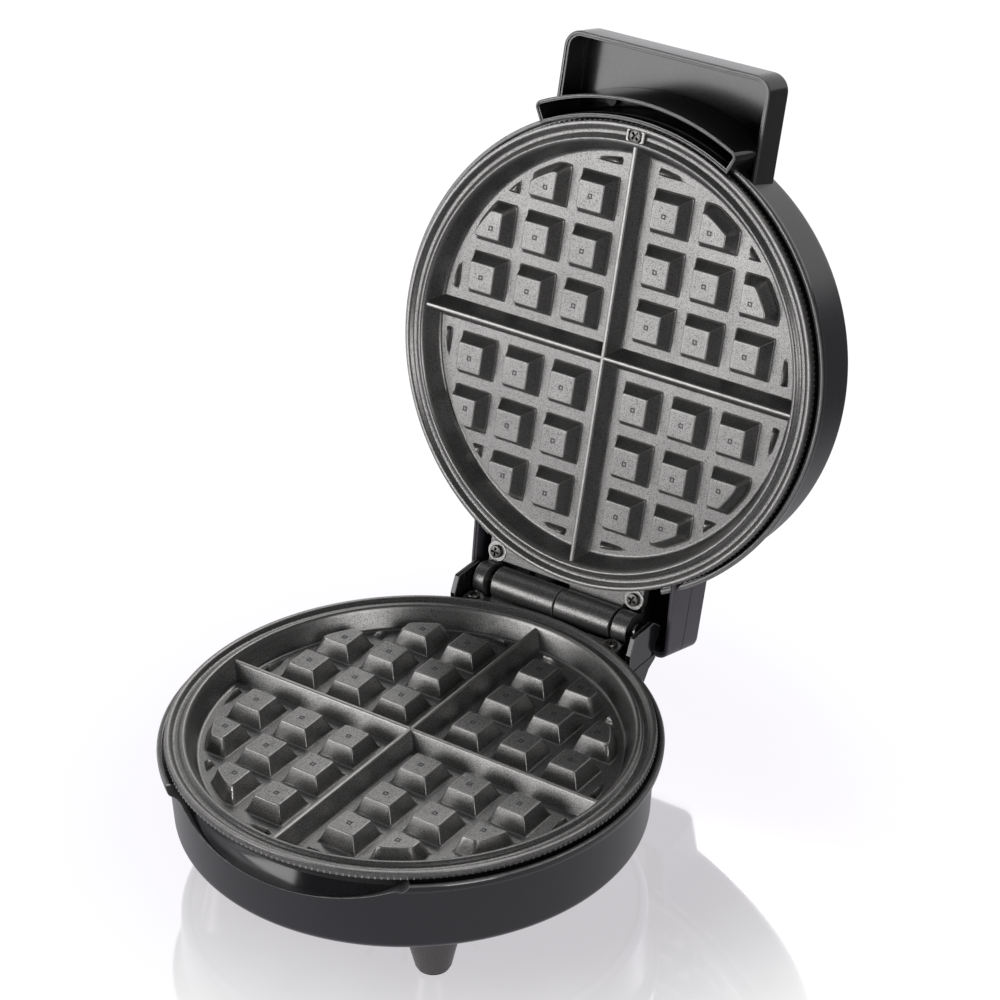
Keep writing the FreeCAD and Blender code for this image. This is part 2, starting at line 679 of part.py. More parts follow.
# ---- put it together ----------------------------------------------------
def base_pieces():
    out = {
        "lower_housing": make_lower_housing(),
        "bottom_cover": make_bottom_cover(),
        "lower_plate": make_plate(BASE_KNUCKLES, LID_KNUCKLES, False),
        "lower_heater": make_heater(),
        "lower_reflector": make_reflector(),
        "lower_heater_clamps": make_clamps(),
        "lower_plate_screws": make_plate_screws(False),
        "base_thermostat": make_thermostat(),
        "base_thermal_fuse": make_fuse(),
        "terminal_block": make_terminal_block(),
        "cord_gland": make_gland(),
        "hinge_pin": make_pin(),
        "foot_pads": make_pads(),
        "foot_screws": make_foot_screws(),
    }
    for name, (x, y) in FOOT_SPOTS.items():
        out[name] = make_foot(x, y)
    return out


def lid_pieces():
    made = {
        "upper_housing": make_upper_housing(),
        "handle": make_handle(),
        "handle_screws": make_handle_screws(),
        "upper_plate": make_plate(LID_KNUCKLES, BASE_KNUCKLES, True),
        "upper_heater": make_heater(),
        "upper_reflector": make_reflector(),
        "upper_heater_clamps": make_clamps(),
        "upper_plate_screws": make_plate_screws(True),
        "lid_thermostat": make_thermostat(),
        "lid_thermal_fuse": make_fuse(),
        "rear_cover": make_rear_cover(),
        "rear_cover_screws": make_cover_screws(),
        "lamp_lens_left": make_lens(-20),
        "lamp_lens_right": make_lens(20),
        "lamp_holder": make_lamp_holder(),
    }
    out = {}
    for name, shape in made.items():
        lid = flip(shape)
        lid.rotate(V(0, HINGE_Y, 0), V(1, 0, 0), -OPEN_DEG)
        out[name] = lid
    return out


def main():
    os.makedirs("parts", exist_ok=True)
    pieces = base_pieces()
    pieces.update(lid_pieces())
    bound = Part.makeCompound(list(pieces.values())).optimalBoundingBox()
    shift = V(-(bound.XMin + bound.XMax) / 2.0,
              -(bound.YMin + bound.YMax) / 2.0, PARTING_H)
    for name, shape in pieces.items():
        shape.translate(shift)
        shape.exportStep("parts/%s.step" % name)
        print(name, len(shape.Solids), shape.isValid(),
              round(shape.Volume / 1000.0, 2), "cm3")
    print("shift", shift, "hinge", HINGE_Y + shift.y, PARTING_H)


main()
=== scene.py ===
# %% [markdown]
# # A round deep-pocket waffle maker, standing open
# Two cast baking plates meet in one flat parting plane. Each plate lies in a
# plastic shell, and a pin through cast knuckles lets the lid swing. Every
# piece below is drawn in millimetres around that parting plane, as a pattern
# maker would draw it, and only then carried to its place on the frame.

# %% Load the frame
import json
import math
import bmesh
import bpy
from mathutils import Matrix, Vector


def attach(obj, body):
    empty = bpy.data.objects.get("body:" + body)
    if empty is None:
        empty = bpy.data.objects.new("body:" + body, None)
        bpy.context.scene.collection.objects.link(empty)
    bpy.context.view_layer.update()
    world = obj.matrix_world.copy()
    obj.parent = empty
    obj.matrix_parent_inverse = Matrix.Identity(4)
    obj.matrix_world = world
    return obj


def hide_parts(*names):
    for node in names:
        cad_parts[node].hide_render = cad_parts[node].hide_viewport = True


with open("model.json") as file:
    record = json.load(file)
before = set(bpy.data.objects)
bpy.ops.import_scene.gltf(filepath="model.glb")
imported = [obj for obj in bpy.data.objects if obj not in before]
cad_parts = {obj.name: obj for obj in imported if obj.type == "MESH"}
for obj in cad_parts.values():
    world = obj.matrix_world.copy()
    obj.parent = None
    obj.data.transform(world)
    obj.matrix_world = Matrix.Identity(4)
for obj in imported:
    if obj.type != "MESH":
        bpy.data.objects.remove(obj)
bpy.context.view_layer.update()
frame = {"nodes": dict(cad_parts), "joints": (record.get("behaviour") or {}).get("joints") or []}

# %% [markdown]
# The hinge axis of the frame fixes everything else. The plate centre is
# 116 mm in front of it. A base piece needs only a shift. A lid piece is drawn
# like a base piece, mirrored across the parting plane and turned open.

# %% Places
MM = 0.001
HINGE_TO_CENTRE = 116.0
OPEN = math.radians(104.9)
hinge = Vector(frame["joints"][0]["pos_m"])
back_to_centre = Matrix.Translation((0, -HINGE_TO_CENTRE * MM, 0))
scale_mm = Matrix.Scale(MM, 4)
mirror = Matrix.Scale(-1, 4, (0, 0, 1))
BASE = Matrix.Translation(hinge) @ back_to_centre @ scale_mm
LID = (Matrix.Translation(hinge) @ Matrix.Rotation(-OPEN, 4, "X")
       @ back_to_centre @ mirror @ scale_mm)
PLACES = {"base": BASE, "lid": LID}
print("hinge at", tuple(round(c, 5) for c in hinge))

# %% [markdown]
# Most of these pieces are skins over a row of closed rings: a turned rim, a
# drawn stud, a hollow tray. One small class keeps the points and faces, and
# notes how much painted edge highlight each point gets, so that a finish can
# lighten the rounded edges with painted highlights.

# %% A shape in millimetres
CRISP_ABOVE = math.radians(36)


class Shape:
    def __init__(self):
        self.points, self.edge_light = [], []
        self.faces, self.finish = [], []

    def rings(self, rings, edge_light=None, finish=0, loop=False):
        """Skin a row of closed rings. A ring of one point is a pole."""
        starts = []
        for k, ring in enumerate(rings):
            starts.append(len(self.points))
            self.points += [tuple(p) for p in ring]
            # Painted highlight: each point keeps an amount of lighter edge colour, which the
            # finishes lay on as painted highlight.
            glint = edge_light[k] if edge_light else 0.0
            self.edge_light += glint if isinstance(glint, list) else [glint] * len(ring)
        count = len(rings)
        for k in range(count if loop else count - 1):
            j = (k + 1) % count
            self.strip(starts[k], len(rings[k]), starts[j], len(rings[j]), finish)
        if not loop:
            for k in (0, count - 1):
                if len(rings[k]) > 1:
                    self.face(range(starts[k], starts[k] + len(rings[k])), finish)
        return self

    def strip(self, a, na, b, nb, finish):
        count = max(na, nb)
        for i in range(count):
            j = (i + 1) % count
            if na == 1:
                self.face((a, b + i, b + j), finish)
            elif nb == 1:
                self.face((a + j, a + i, b), finish)
            else:
                self.face((a + i, a + j, b + j, b + i), finish)

    def face(self, corners, finish):
        self.faces.append(tuple(corners))
        self.finish.append(finish)

    def take(self, mesh, finish=0):
        """Add a finished mesh, such as one that nodes made."""
        start = len(self.points)
        edge_light = mesh.attributes.get("edge_light")
        self.points += [tuple(v.co) for v in mesh.vertices]
        if edge_light:
            self.edge_light += [d.value for d in edge_light.data]
        else:
            self.edge_light += [0.0] * len(mesh.vertices)
        for p in mesh.polygons:
            self.face([start + i for i in p.vertices], finish)
        return self

    def mesh(self, name, place=None):
        """A mesh with outward faces, soft bends and crisp corners."""
        bm = bmesh.new()
        layer = bm.verts.layers.float.new("edge_light")
        for point, edge_light in zip(self.points, self.edge_light):
            bm.verts.new(point)[layer] = edge_light
        bm.verts.ensure_lookup_table()
        for corners, finish in zip(self.faces, self.finish):
            made = bm.faces.new([bm.verts[i] for i in corners])
            made.material_index = finish
            made.smooth = True
        if place is not None:
            bmesh.ops.transform(bm, matrix=place, verts=bm.verts)
        bmesh.ops.recalc_face_normals(bm, faces=bm.faces)
        for edge in bm.edges:
            edge.smooth = edge.calc_face_angle(0.0) < CRISP_ABOVE
        mesh = bpy.data.meshes.new(name)
        bm.to_mesh(mesh)
        bm.free()
        return mesh


def circle(r, steps, middle=(0.0, 0.0)):
    turn = [math.tau * i / steps for i in range(steps)]
    return [(middle[0] + r * math.cos(a), middle[1] + r * math.sin(a)) for a in turn]


def turned(profile, steps=180, middle=(0.0, 0.0)):
    """Rings of a (radius, z) profile turned about the upright axis."""
    return [[(x, y, z) for x, y in (circle(r, steps, middle) if r else [middle])]
            for r, z in profile]


def between(a, b, parts):
    """Evenly spaced values from a to b, with both ends."""
    return [a + (b - a) * k / parts for k in range(parts + 1)]


def radius_at(z, line, beyond):
    """Read a falling row of (radius, z) points at one height."""
    for (r0, z0), (r1, z1) in zip(line, line[1:]):
        if z0 >= z >= z1:
            return r0 + (r1 - r0) * (z0 - z) / (z0 - z1)
    return beyond


print("shape tools ready")

# %% [markdown]
# A finished piece rides on a body and stands in for the plain solids of the
# frame. A weighted-normal modifier keeps its flat faces flat while the narrow
# rounds between them catch the light, as moulded and cast parts do.

# %% Pieces
def piece(name, mesh, body, finishes, slot, *stands_for):
    obj = bpy.data.objects.new(name, mesh)
    bpy.context.scene.collection.objects.link(obj)
    for finish in finishes:
        mesh.materials.append(finish)
    weighted = obj.modifiers.new("flat faces stay flat", "WEIGHTED_NORMAL")
    weighted.keep_sharp = True
    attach(obj, body)
    if stands_for:
        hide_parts(*stands_for)
    print(name, len(mesh.polygons), "faces")
    return obj


# %% [markdown]
# ## Finishes
# Three effects come back in many finishes, so each is a node group: a fine
# speckle that gives the baking coat and cast metal their grain and moulded
# plastic its soft orange peel, the faint smudges that make a gloss uneven, and a
# painted highlight along the edges. The shader itself stays in each material.

# %% Node helpers
def sockets(tree, side, items):
    for label, kind, value in items:
        made = tree.interface.new_socket(label, in_out=side, socket_type=kind)
        if value is not None:
            made.default_value = value


def preset(made, values):
    """Set the values of a node's unlinked inputs."""
    for label, value in values.items():
        made.inputs[label].default_value = value


def node(tree, kind, values=None, **settings):
    made = tree.nodes.new(kind)
    for key, value in settings.items():
        setattr(made, key, value)
    preset(made, values or {})
    return made


def linker(tree):
    """A short way to write a link: node and output, then node and input."""
    def link(source, output, target, entry):
        tree.links.new(source.outputs[output], target.inputs[entry])
    return link


def new_group(name, inputs, outputs):
    tree = bpy.data.node_groups.new(name, "ShaderNodeTree")
    sockets(tree, "INPUT", inputs)
    sockets(tree, "OUTPUT", outputs)
    return tree, node(tree, "NodeGroupInput"), node(tree, "NodeGroupOutput")


FLOAT = "NodeSocketFloat"
COLOUR = "NodeSocketColor"


def speckle_group():
    """Two sizes of grain: a tone between two colours, and a height."""
    tree, given, out = new_group(
        "fine speckle",
        [("Dark", COLOUR, (0.05, 0.05, 0.05, 1)),
         ("Light", COLOUR, (0.2, 0.2, 0.2, 1)),
         ("Grains per metre", FLOAT, 1500.0), ("Contrast", FLOAT, 0.5)],
        [("Colour", COLOUR, None), ("Mask", FLOAT, None), ("Height", FLOAT, None)])
    where = node(tree, "ShaderNodeTexCoord")
    fine = node(tree, "ShaderNodeTexNoise", {"Detail": 3.0})
    coarse = node(tree, "ShaderNodeTexNoise", {"Scale": 60.0})
    spread = node(tree, "ShaderNodeMapRange", {"To Min": 0.0})
    width = node(tree, "ShaderNodeMath", {1: -0.3, 2: 0.68}, operation="MULTIPLY_ADD")
    low = node(tree, "ShaderNodeMath", {1: 0.3, 2: 0.28}, operation="MULTIPLY_ADD")
    blend = node(tree, "ShaderNodeMath", {1: 0.08}, operation="MULTIPLY_ADD")
    mix = node(tree, "ShaderNodeMix", data_type="RGBA")
    link = linker(tree)
    link(where, "Object", fine, "Vector")
    link(where, "Object", coarse, "Vector")
    link(given, "Grains per metre", fine, "Scale")
    link(coarse, "Fac", blend, 0)
    link(fine, "Fac", blend, 2)
    link(given, "Contrast", low, 0)
    link(given, "Contrast", width, 0)
    link(blend, 0, spread, "Value")
    link(low, 0, spread, "From Min")
    link(width, 0, spread, "From Max")
    link(spread, "Result", mix, "Factor")
    link(given, "Dark", mix, 6)
    link(given, "Light", mix, 7)
    link(mix, 2, out, "Colour")
    link(spread, "Result", out, "Mask")
    link(fine, "Fac", out, "Height")
    return tree


def smudge_group():
    """A gloss that wanders between two values in soft, large patches."""
    tree, given, out = new_group(
        "smudges",
        [("Smooth", FLOAT, 0.1), ("Rough", FLOAT, 0.3), ("Patches per metre", FLOAT, 14.0)],
        [("Roughness", FLOAT, None), ("Mask", FLOAT, None)])
    where = node(tree, "ShaderNodeTexCoord")
    patch = node(tree, "ShaderNodeTexNoise", {"Detail": 6.0, "Distortion": 0.6})
    spread = node(tree, "ShaderNodeMapRange", {"From Min": 0.35, "From Max": 0.7})
    link = linker(tree)
    link(where, "Object", patch, "Vector")
    link(given, "Patches per metre", patch, "Scale")
    link(patch, "Fac", spread, "Value")
    link(given, "Smooth", spread, "To Min")
    link(given, "Rough", spread, "To Max")
    link(spread, "Result", out, "Roughness")
    link(patch, "Fac", out, "Mask")
    return tree


def edge_group():
    """Painted edge highlight: where the stored edge value is high, a colour moves to a lighter
    highlight colour, in patches.
    """
    tree, given, out = new_group(
        "painted edge highlights",
        [("Colour", COLOUR, (0.1, 0.1, 0.1, 1)), ("Rubbed", COLOUR, (0.5, 0.5, 0.5, 1)),
         ("Amount", FLOAT, 0.5)],
        [("Colour", COLOUR, None), ("Mask", FLOAT, None)])
    edge_light = node(tree, "ShaderNodeAttribute", attribute_name="edge_light")
    where = node(tree, "ShaderNodeTexCoord")
    patchy = node(tree, "ShaderNodeTexNoise", {"Scale": 220.0, "Detail": 4.0})
    rough = node(tree, "ShaderNodeMapRange", {"From Min": 0.3, "From Max": 0.6, "To Min": 0.7})
    times = node(tree, "ShaderNodeMath", operation="MULTIPLY")
    much = node(tree, "ShaderNodeMath", operation="MULTIPLY")
    mix = node(tree, "ShaderNodeMix", data_type="RGBA")
    link = linker(tree)
    link(where, "Object", patchy, "Vector")
    link(patchy, "Fac", rough, "Value")
    link(edge_light, "Fac", times, 0)
    link(rough, "Result", times, 1)
    link(times, 0, much, 0)
    link(given, "Amount", much, 1)
    link(much, 0, mix, "Factor")
    link(given, "Colour", mix, 6)
    link(given, "Rubbed", mix, 7)
    link(mix, 2, out, "Colour")
    link(much, 0, out, "Mask")
    return tree


SPECKLE = speckle_group()
SMUDGES = smudge_group()
LIT_EDGES = edge_group()
print("node groups", [g.name for g in bpy.data.node_groups])

# %% [markdown]
# One recipe then mixes every finish: two close colours in grain, a gloss that
# wanders, a shallow bump, and painted highlights on the edges. The numbers say
# what it is: a metal has Metallic 1, a lacquer has a coat, a moulding has neither.

# %% The finish recipe
def finish(name, dark, light, grains=1500.0, contrast=0.5, smooth=0.3, rough=0.4,
           metallic=0.0, bump=0.1, depth=0.00002, lit_edge=None, amount=0.4,
           patches=14.0, **fixed):
    made = bpy.data.materials.new(name)
    made.use_nodes = True
    tree = made.node_tree
    shader = tree.nodes["Principled BSDF"]
    grain = node(tree, "ShaderNodeGroup",
                 {"Dark": (*dark, 1), "Light": (*light, 1), "Grains per metre": grains,
                  "Contrast": contrast}, node_tree=SPECKLE)
    gloss = node(tree, "ShaderNodeGroup",
                 {"Smooth": smooth, "Rough": rough, "Patches per metre": patches},
                 node_tree=SMUDGES)
    relief = node(tree, "ShaderNodeBump", {"Strength": bump, "Distance": depth})
    link = linker(tree)
    link(gloss, "Roughness", shader, "Roughness")
    link(grain, "Height", relief, "Height")
    link(relief, "Normal", shader, "Normal")
    toned = grain
    # Painted highlight: the edges get a lighter colour that stands in for the light they catch.
    if lit_edge:
        toned = node(tree, "ShaderNodeGroup", {"Rubbed": (*lit_edge, 1), "Amount": amount},
                     node_tree=LIT_EDGES)
        link(grain, "Colour", toned, "Colour")
    link(toned, "Colour", shader, "Base Color")
    preset(shader, {"Metallic": metallic})
    preset(shader, {label.replace("_", " "): value for label, value in fixed.items()})
    return made


non_stick = finish("non-stick coat", (0.075, 0.073, 0.073), (0.22, 0.216, 0.213),
                   grains=2200, contrast=0.35, smooth=0.30, rough=0.38, metallic=0.75,
                   bump=0.5, depth=0.0001, lit_edge=(0.50, 0.49, 0.48), amount=0.7)
stamp_dark = finish("stamped mark", (0.02, 0.02, 0.02), (0.06, 0.06, 0.06),
                    smooth=0.4, rough=0.5, metallic=0.4)
satin_shell = finish("satin anthracite", (0.018, 0.0165, 0.0205), (0.025, 0.023, 0.0285),
                     grains=2600, contrast=0.2, smooth=0.26, rough=0.33, bump=0.06,
                     lit_edge=(0.20, 0.19, 0.21), amount=0.5)
gloss_shell = finish("gloss black", (0.008, 0.008, 0.009), (0.014, 0.013, 0.015),
                     grains=900, contrast=0.2, smooth=0.07, rough=0.13, bump=0.02,
                     lit_edge=(0.5, 0.49, 0.49), amount=0.6, patches=9)
# Painted shade: a near-black finish laid on faces that lie in shadow, in the finger recess, the
# nose hollow and on the handle screws.
painted_shade = finish("painted recess shade", (0.003, 0.003, 0.003), (0.006, 0.006, 0.006),
                      grains=900, smooth=0.4, rough=0.6, bump=0.05)
handle_gloss = finish("handle moulding", (0.018, 0.017, 0.018), (0.028, 0.027, 0.028),
                      grains=1400, contrast=0.25, smooth=0.16, rough=0.24, bump=0.05,
                      lit_edge=(0.32, 0.31, 0.32), amount=0.6)
cover_matt = finish("cover moulding", (0.050, 0.046, 0.056), (0.068, 0.062, 0.075),
                    grains=2200, contrast=0.3, smooth=0.38, rough=0.46, bump=0.12,
                    lit_edge=(0.2, 0.19, 0.21), amount=0.4)
black_screw = finish("blackened screw", (0.02, 0.02, 0.02), (0.09, 0.088, 0.086),
                     smooth=0.3, rough=0.42, metallic=0.8, lit_edge=(0.4, 0.38, 0.36),
                     amount=0.5)
bright_steel = finish("bright steel", (0.42, 0.42, 0.42), (0.6, 0.59, 0.58),
                      smooth=0.2, rough=0.34, metallic=1.0)
plated_sheet = finish("plated sheet", (0.40, 0.41, 0.42), (0.55, 0.56, 0.57),
                      grains=300, smooth=0.3, rough=0.46, metallic=1.0)
vent_steel = finish("painted vent plate", (0.035, 0.034, 0.036), (0.06, 0.058, 0.06),
                    grains=2600, smooth=0.4, rough=0.55, metallic=0.3, bump=0.25)
element_skin = finish("element sheath", (0.10, 0.085, 0.075), (0.22, 0.19, 0.17),
                      grains=500, smooth=0.35, rough=0.55, metallic=0.9)
foot_plastic = finish("foot moulding", (0.048, 0.045, 0.044), (0.075, 0.070, 0.068),
                      grains=1800, contrast=0.4, smooth=0.36, rough=0.48, bump=0.2)
rubber = finish("rubber pad", (0.015, 0.014, 0.014), (0.032, 0.031, 0.030),
                grains=2400, smooth=0.6, rough=0.8, bump=0.3)
gland_black = finish("gland nylon", (0.02, 0.02, 0.021), (0.035, 0.034, 0.035),
                     smooth=0.4, rough=0.55, bump=0.15)
ceramic = finish("ceramic body", (0.62, 0.58, 0.50), (0.74, 0.70, 0.62),
                 grains=900, smooth=0.45, rough=0.6, bump=0.15)
fuse_case = finish("fuse case", (0.50, 0.44, 0.33), (0.68, 0.62, 0.50),
                   smooth=0.25, rough=0.4, metallic=1.0)
block_white = finish("terminal block", (0.66, 0.65, 0.62), (0.78, 0.77, 0.74),
                     grains=700, smooth=0.35, rough=0.5)
lens_red = finish("red lens", (0.32, 0.010, 0.008), (0.45, 0.02, 0.015),
                  grains=300, smooth=0.05, rough=0.12, Transmission_Weight=0.4)
lens_green = finish("green lens", (0.012, 0.20, 0.03), (0.02, 0.32, 0.06),
                    grains=300, smooth=0.05, rough=0.12, Transmission_Weight=0.4)
print("finishes", len(bpy.data.materials))

# %% [markdown]
# ## Things that repeat
# Studs, rim teeth, screws and feet repeat, so Geometry Nodes place them. One
# tree sets copies on points, the other spins copies about the upright axis.
# Both end in real geometry with its finish set, and are then made into a
# plain mesh.

# %% Node trees for repeats
def placing_tree(name, around):
    tree = bpy.data.node_groups.new(name, "GeometryNodeTree")
    sockets(tree, "INPUT", [("Points", "NodeSocketGeometry", None),
                            ("Item", "NodeSocketObject", None),
                            ("Count", "NodeSocketInt", 4),
                            ("Turn step", "NodeSocketFloat", 0.0),
                            ("Finish", "NodeSocketMaterial", None)])
    sockets(tree, "OUTPUT", [("Made", "NodeSocketGeometry", None)])
    given = node(tree, "NodeGroupInput")
    out = node(tree, "NodeGroupOutput")
    item = node(tree, "GeometryNodeObjectInfo")
    copies = node(tree, "GeometryNodeInstanceOnPoints")
    index = node(tree, "GeometryNodeInputIndex")
    turn = node(tree, "ShaderNodeMath", operation="MULTIPLY")
    angles = node(tree, "ShaderNodeCombineXYZ")
    real = node(tree, "GeometryNodeRealizeInstances")
    paint = node(tree, "GeometryNodeSetMaterial")
    link = linker(tree)
    if around:
        points = node(tree, "GeometryNodePoints")
        link(given, "Count", points, "Count")
        link(points, 0, copies, "Points")
    else:
        link(given, "Points", copies, "Points")
    link(given, "Item", item, "Object")
    link(item, "Geometry", copies, "Instance")
    link(index, 0, turn, 0)
    link(given, "Turn step", turn, 1)
    link(turn, 0, angles, "Z")
    link(angles, 0, copies, "Rotation")
    link(copies, "Instances", real, "Geometry")
    link(real, "Geometry", paint, "Geometry")
    link(given, "Finish", paint, "Material")
    link(paint, "Geometry", out, "Made")
    return tree


ON_POINTS = placing_tree("copies on points", False)
AROUND = placing_tree("copies around the axis", True)


def repeat(shape, tree, points=((0, 0, 0),), count=4, step=0.0, coat=non_stick):
    """Copies of one shape as a plain mesh, still in millimetres."""
    item = bpy.data.objects.new("item", shape.mesh("item"))
    bpy.context.scene.collection.objects.link(item)
    dots = bpy.data.meshes.new("dots")
    dots.from_pydata([tuple(p) for p in points], [], [])
    carrier = bpy.data.objects.new("carrier", dots)
    bpy.context.scene.collection.objects.link(carrier)
    nodes = carrier.modifiers.new("copies", "NODES")
    nodes.node_group = tree
    wanted = {"Item": item, "Count": count, "Turn step": step, "Finish": coat}
    for socket in tree.interface.items_tree:
        if socket.in_out == "INPUT" and socket.name in wanted:
            nodes[socket.identifier] = wanted[socket.name]
    graph = bpy.context.evaluated_depsgraph_get()
    made = bpy.data.meshes.new_from_object(carrier.evaluated_get(graph))
    for spent in (carrier, item):
        bpy.data.objects.remove(spent)
    print("repeated", len(made.polygons), "faces")
    return made


# %% [markdown]
# ## The baking plate
# Each plate is one casting: a dish, a rim with two round beads and a groove,
# a cross rib, and the studs that press the pockets. A stud has sloping sides,
# a small fillet at its foot and a small round at its crown. The outer studs
# are trimmed by the round dish, so the outline is a smooth mix of a square
# and a circle, drawn by its distance from a middle point.

# %% Studs
PITCH, FIRST = 25.0, 19.0
CROWN, FLOOR = -2.5, -10.1
HALF_CROWN, HALF_FOOT = 6.4, 9.4
TRIM_CROWN, TRIM_FOOT = 85.1, 88.3
FREE_REACH, TRIMMED_MIDDLE = 85.0, 2.0
STUD_CRISP, WEDGE_CRISP = 28, 22
CORNER_LOW, CORNER_HIGH, CORNER_EDGE_LIGHT = -10.0, -2.6, 0.8
SHARP_TURN = math.radians(30)


def outline(middle, square, half, limit, steps, crisp):
    """Points of a rounded square, cut by a circle about the plate centre."""
    mx, my = middle
    dx, dy = mx - square[0], my - square[1]
    reach = ((1, 0, half - dx), (-1, 0, half + dx), (0, 1, half - dy), (0, -1, half + dy))
    ring = []
    for i in range(steps):
        t = math.tau * (i + 0.5) / steps
        a = t + 0.2 * math.sin(4 * t)
        ux, uy = math.cos(a), math.sin(a)
        along = mx * ux + my * uy
        out = -along + math.sqrt(along ** 2 + limit ** 2 - mx ** 2 - my ** 2)
        total = (1.0 / out) ** crisp
        for nx, ny, room in reach:
            total += (max(0.0, nx * ux + ny * uy) / room) ** crisp
        r = total ** (-1.0 / crisp)
        ring.append((mx + r * ux, my + r * uy))
    return ring


# Height, growth past the sloping side, and painted edge highlight.
STUD_ROWS = [(-10.16, 0.95, 0), (-10.07, 0.5, 0), (-9.86, 0.15, 0.5), (-9.5, 0.0, 0.1),
             (-6.5, 0.0, 0), (-3.0, 0.0, 0.1), (-2.82, -0.02, 0.8), (-2.68, -0.08, 1.0),
             (-2.57, -0.19, 1.0), (-2.51, -0.33, 0.6), (-2.5, -0.5, 0.1), (-2.5, -1.2, 0)]
WEDGE_ROWS = [(-10.16, 0.5), (-10.0, 0.15), (-9.7, 0.0), (-8.7, 0.0), (-7.9, 0.0),
              (-7.5, -0.05), (-7.35, -0.2)]


def stud_size(z):
    rise = (z - FLOOR) / (CROWN - FLOOR)
    return (HALF_FOOT + (HALF_CROWN - HALF_FOOT) * rise,
            TRIM_FOOT + (TRIM_CROWN - TRIM_FOOT) * rise)


def corners(ring):
    """One at the points where a closed plane outline turns sharply."""
    found = []
    for k, (x, y) in enumerate(ring):
        (ax, ay), (bx, by) = ring[k - 2], ring[(k + 2) % len(ring)]
        bend = Vector((x - ax, y - ay)).angle(Vector((bx - x, by - y)))
        found.append(1.0 if bend > SHARP_TURN else 0.0)
    return found


def add_stud(shape, i, j, steps=96):
    """One stud. A trimmed one is drawn from a middle point nearer the centre."""
    square = (FIRST + i * PITCH, FIRST + j * PITCH)
    trimmed = math.hypot(square[0] + HALF_FOOT, square[1] + HALF_FOOT) > FREE_REACH
    shift = TRIMMED_MIDDLE if trimmed else 0.0
    middle = (square[0] - shift, square[1] - shift)
    rings, edge_light = [], []
    for z, grow, glint in STUD_ROWS:
        half, limit = stud_size(z)
        flat = outline(middle, square, half + grow, limit + grow, steps, STUD_CRISP)
        rings.append([(x, y, z) for x, y in flat])
        # Painted highlight up the stud's corner edges.
        edge = CORNER_EDGE_LIGHT if CORNER_LOW < z < CORNER_HIGH else 0.0
        edge_light.append([max(glint, edge * corner) for corner in corners(flat)])
    shape.rings(rings, edge_light)


def add_wedge(shape, i, j, steps=36):
    """The sliver that is left of a stud where the dish cuts nearly all of it."""
    square = (FIRST + i * PITCH, FIRST + j * PITCH)
    rings, edge_light = [], []
    for z, grow in WEDGE_ROWS:
        half, limit = stud_size(z)
        half, limit = half + grow, limit + grow
        x, y = square[0] - half, square[1] - half
        far_x, far_y = math.sqrt(limit ** 2 - y ** 2), math.sqrt(limit ** 2 - x ** 2)
        far_y = min(far_y, square[1] + half)
        far_x = min(far_x, square[0] + half)
        middle = ((2 * x + far_x) / 3, (2 * y + far_y) / 3)
        flat = outline(middle, square, half, limit, steps, WEDGE_CRISP)
        rings.append([(px, py, z) for px, py in flat])
        # Painted highlight on the upper part of the wedge.
        edge_light.append(1.0 if z > -8.0 else 0.0)
    shape.rings(rings, edge_light)


# %% One quarter of the studs, spun four times
STUD_SPOTS = [(0, 0), (1, 0), (0, 1), (1, 1), (2, 0), (0, 2), (2, 1), (1, 2)]
WEDGE_SPOTS = [(3, 0), (0, 3), (2, 2)]
quarter = Shape()
for spot in STUD_SPOTS:
    add_stud(quarter, *spot)
for spot in WEDGE_SPOTS:
    add_wedge(quarter, *spot)
all_studs = repeat(quarter, AROUND, count=4, step=math.pi / 2)

# %% [markdown]
# Every crown carries a tiny stamped frame, and the outer edge of the rim a
# row of fine teeth. Both are small closed shapes, set out by the same trees.

# %% Stamps and rim teeth
STAMP_LOOP = [(1.15, -2.62), (1.1, -2.40), (0.55, -2.40), (0.5, -2.62)]
TRIMMED_SPOTS, TRIMMED_SHIFT = ((2, 1), (1, 2)), 1.6
stamp = Shape()
stamp.rings([[(half, half, z), (-half, half, z), (-half, -half, z), (half, -half, z)]
             for half, z in STAMP_LOOP], loop=True)
crowns = []
for turn in range(4):
    for i, j in STUD_SPOTS:
        x, y = FIRST + i * PITCH, FIRST + j * PITCH
        if (i, j) in TRIMMED_SPOTS:
            x, y = x - TRIMMED_SHIFT, y - TRIMMED_SHIFT
        c, s = math.cos(turn * math.pi / 2), math.sin(turn * math.pi / 2)
        crowns.append((x * c - y * s, x * s + y * c, 0))
all_stamps = repeat(stamp, ON_POINTS, points=crowns, coat=stamp_dark)

RIM_R, TEETH = 105.0, 250
TOOTH_ROOT, TOOTH_TIP = 104.7, 105.27
half_tooth = math.pi * RIM_R / TEETH * 0.62
tooth = Shape()
# Painted highlight over the whole of each tooth.
tooth.rings([[(TOOTH_ROOT, -half_tooth, z), (TOOTH_ROOT, half_tooth, z), (TOOTH_TIP, 0, z)]
             for z in (-3.55, -2.35)], edge_light=[1, 1])
all_teeth = repeat(tooth, AROUND, count=TEETH, step=math.tau / TEETH)

# %% [markdown]
# The dish is turned from one profile. Its beads are drawn with enough points
# to stay round, because their long thin highlights are what the eye follows.

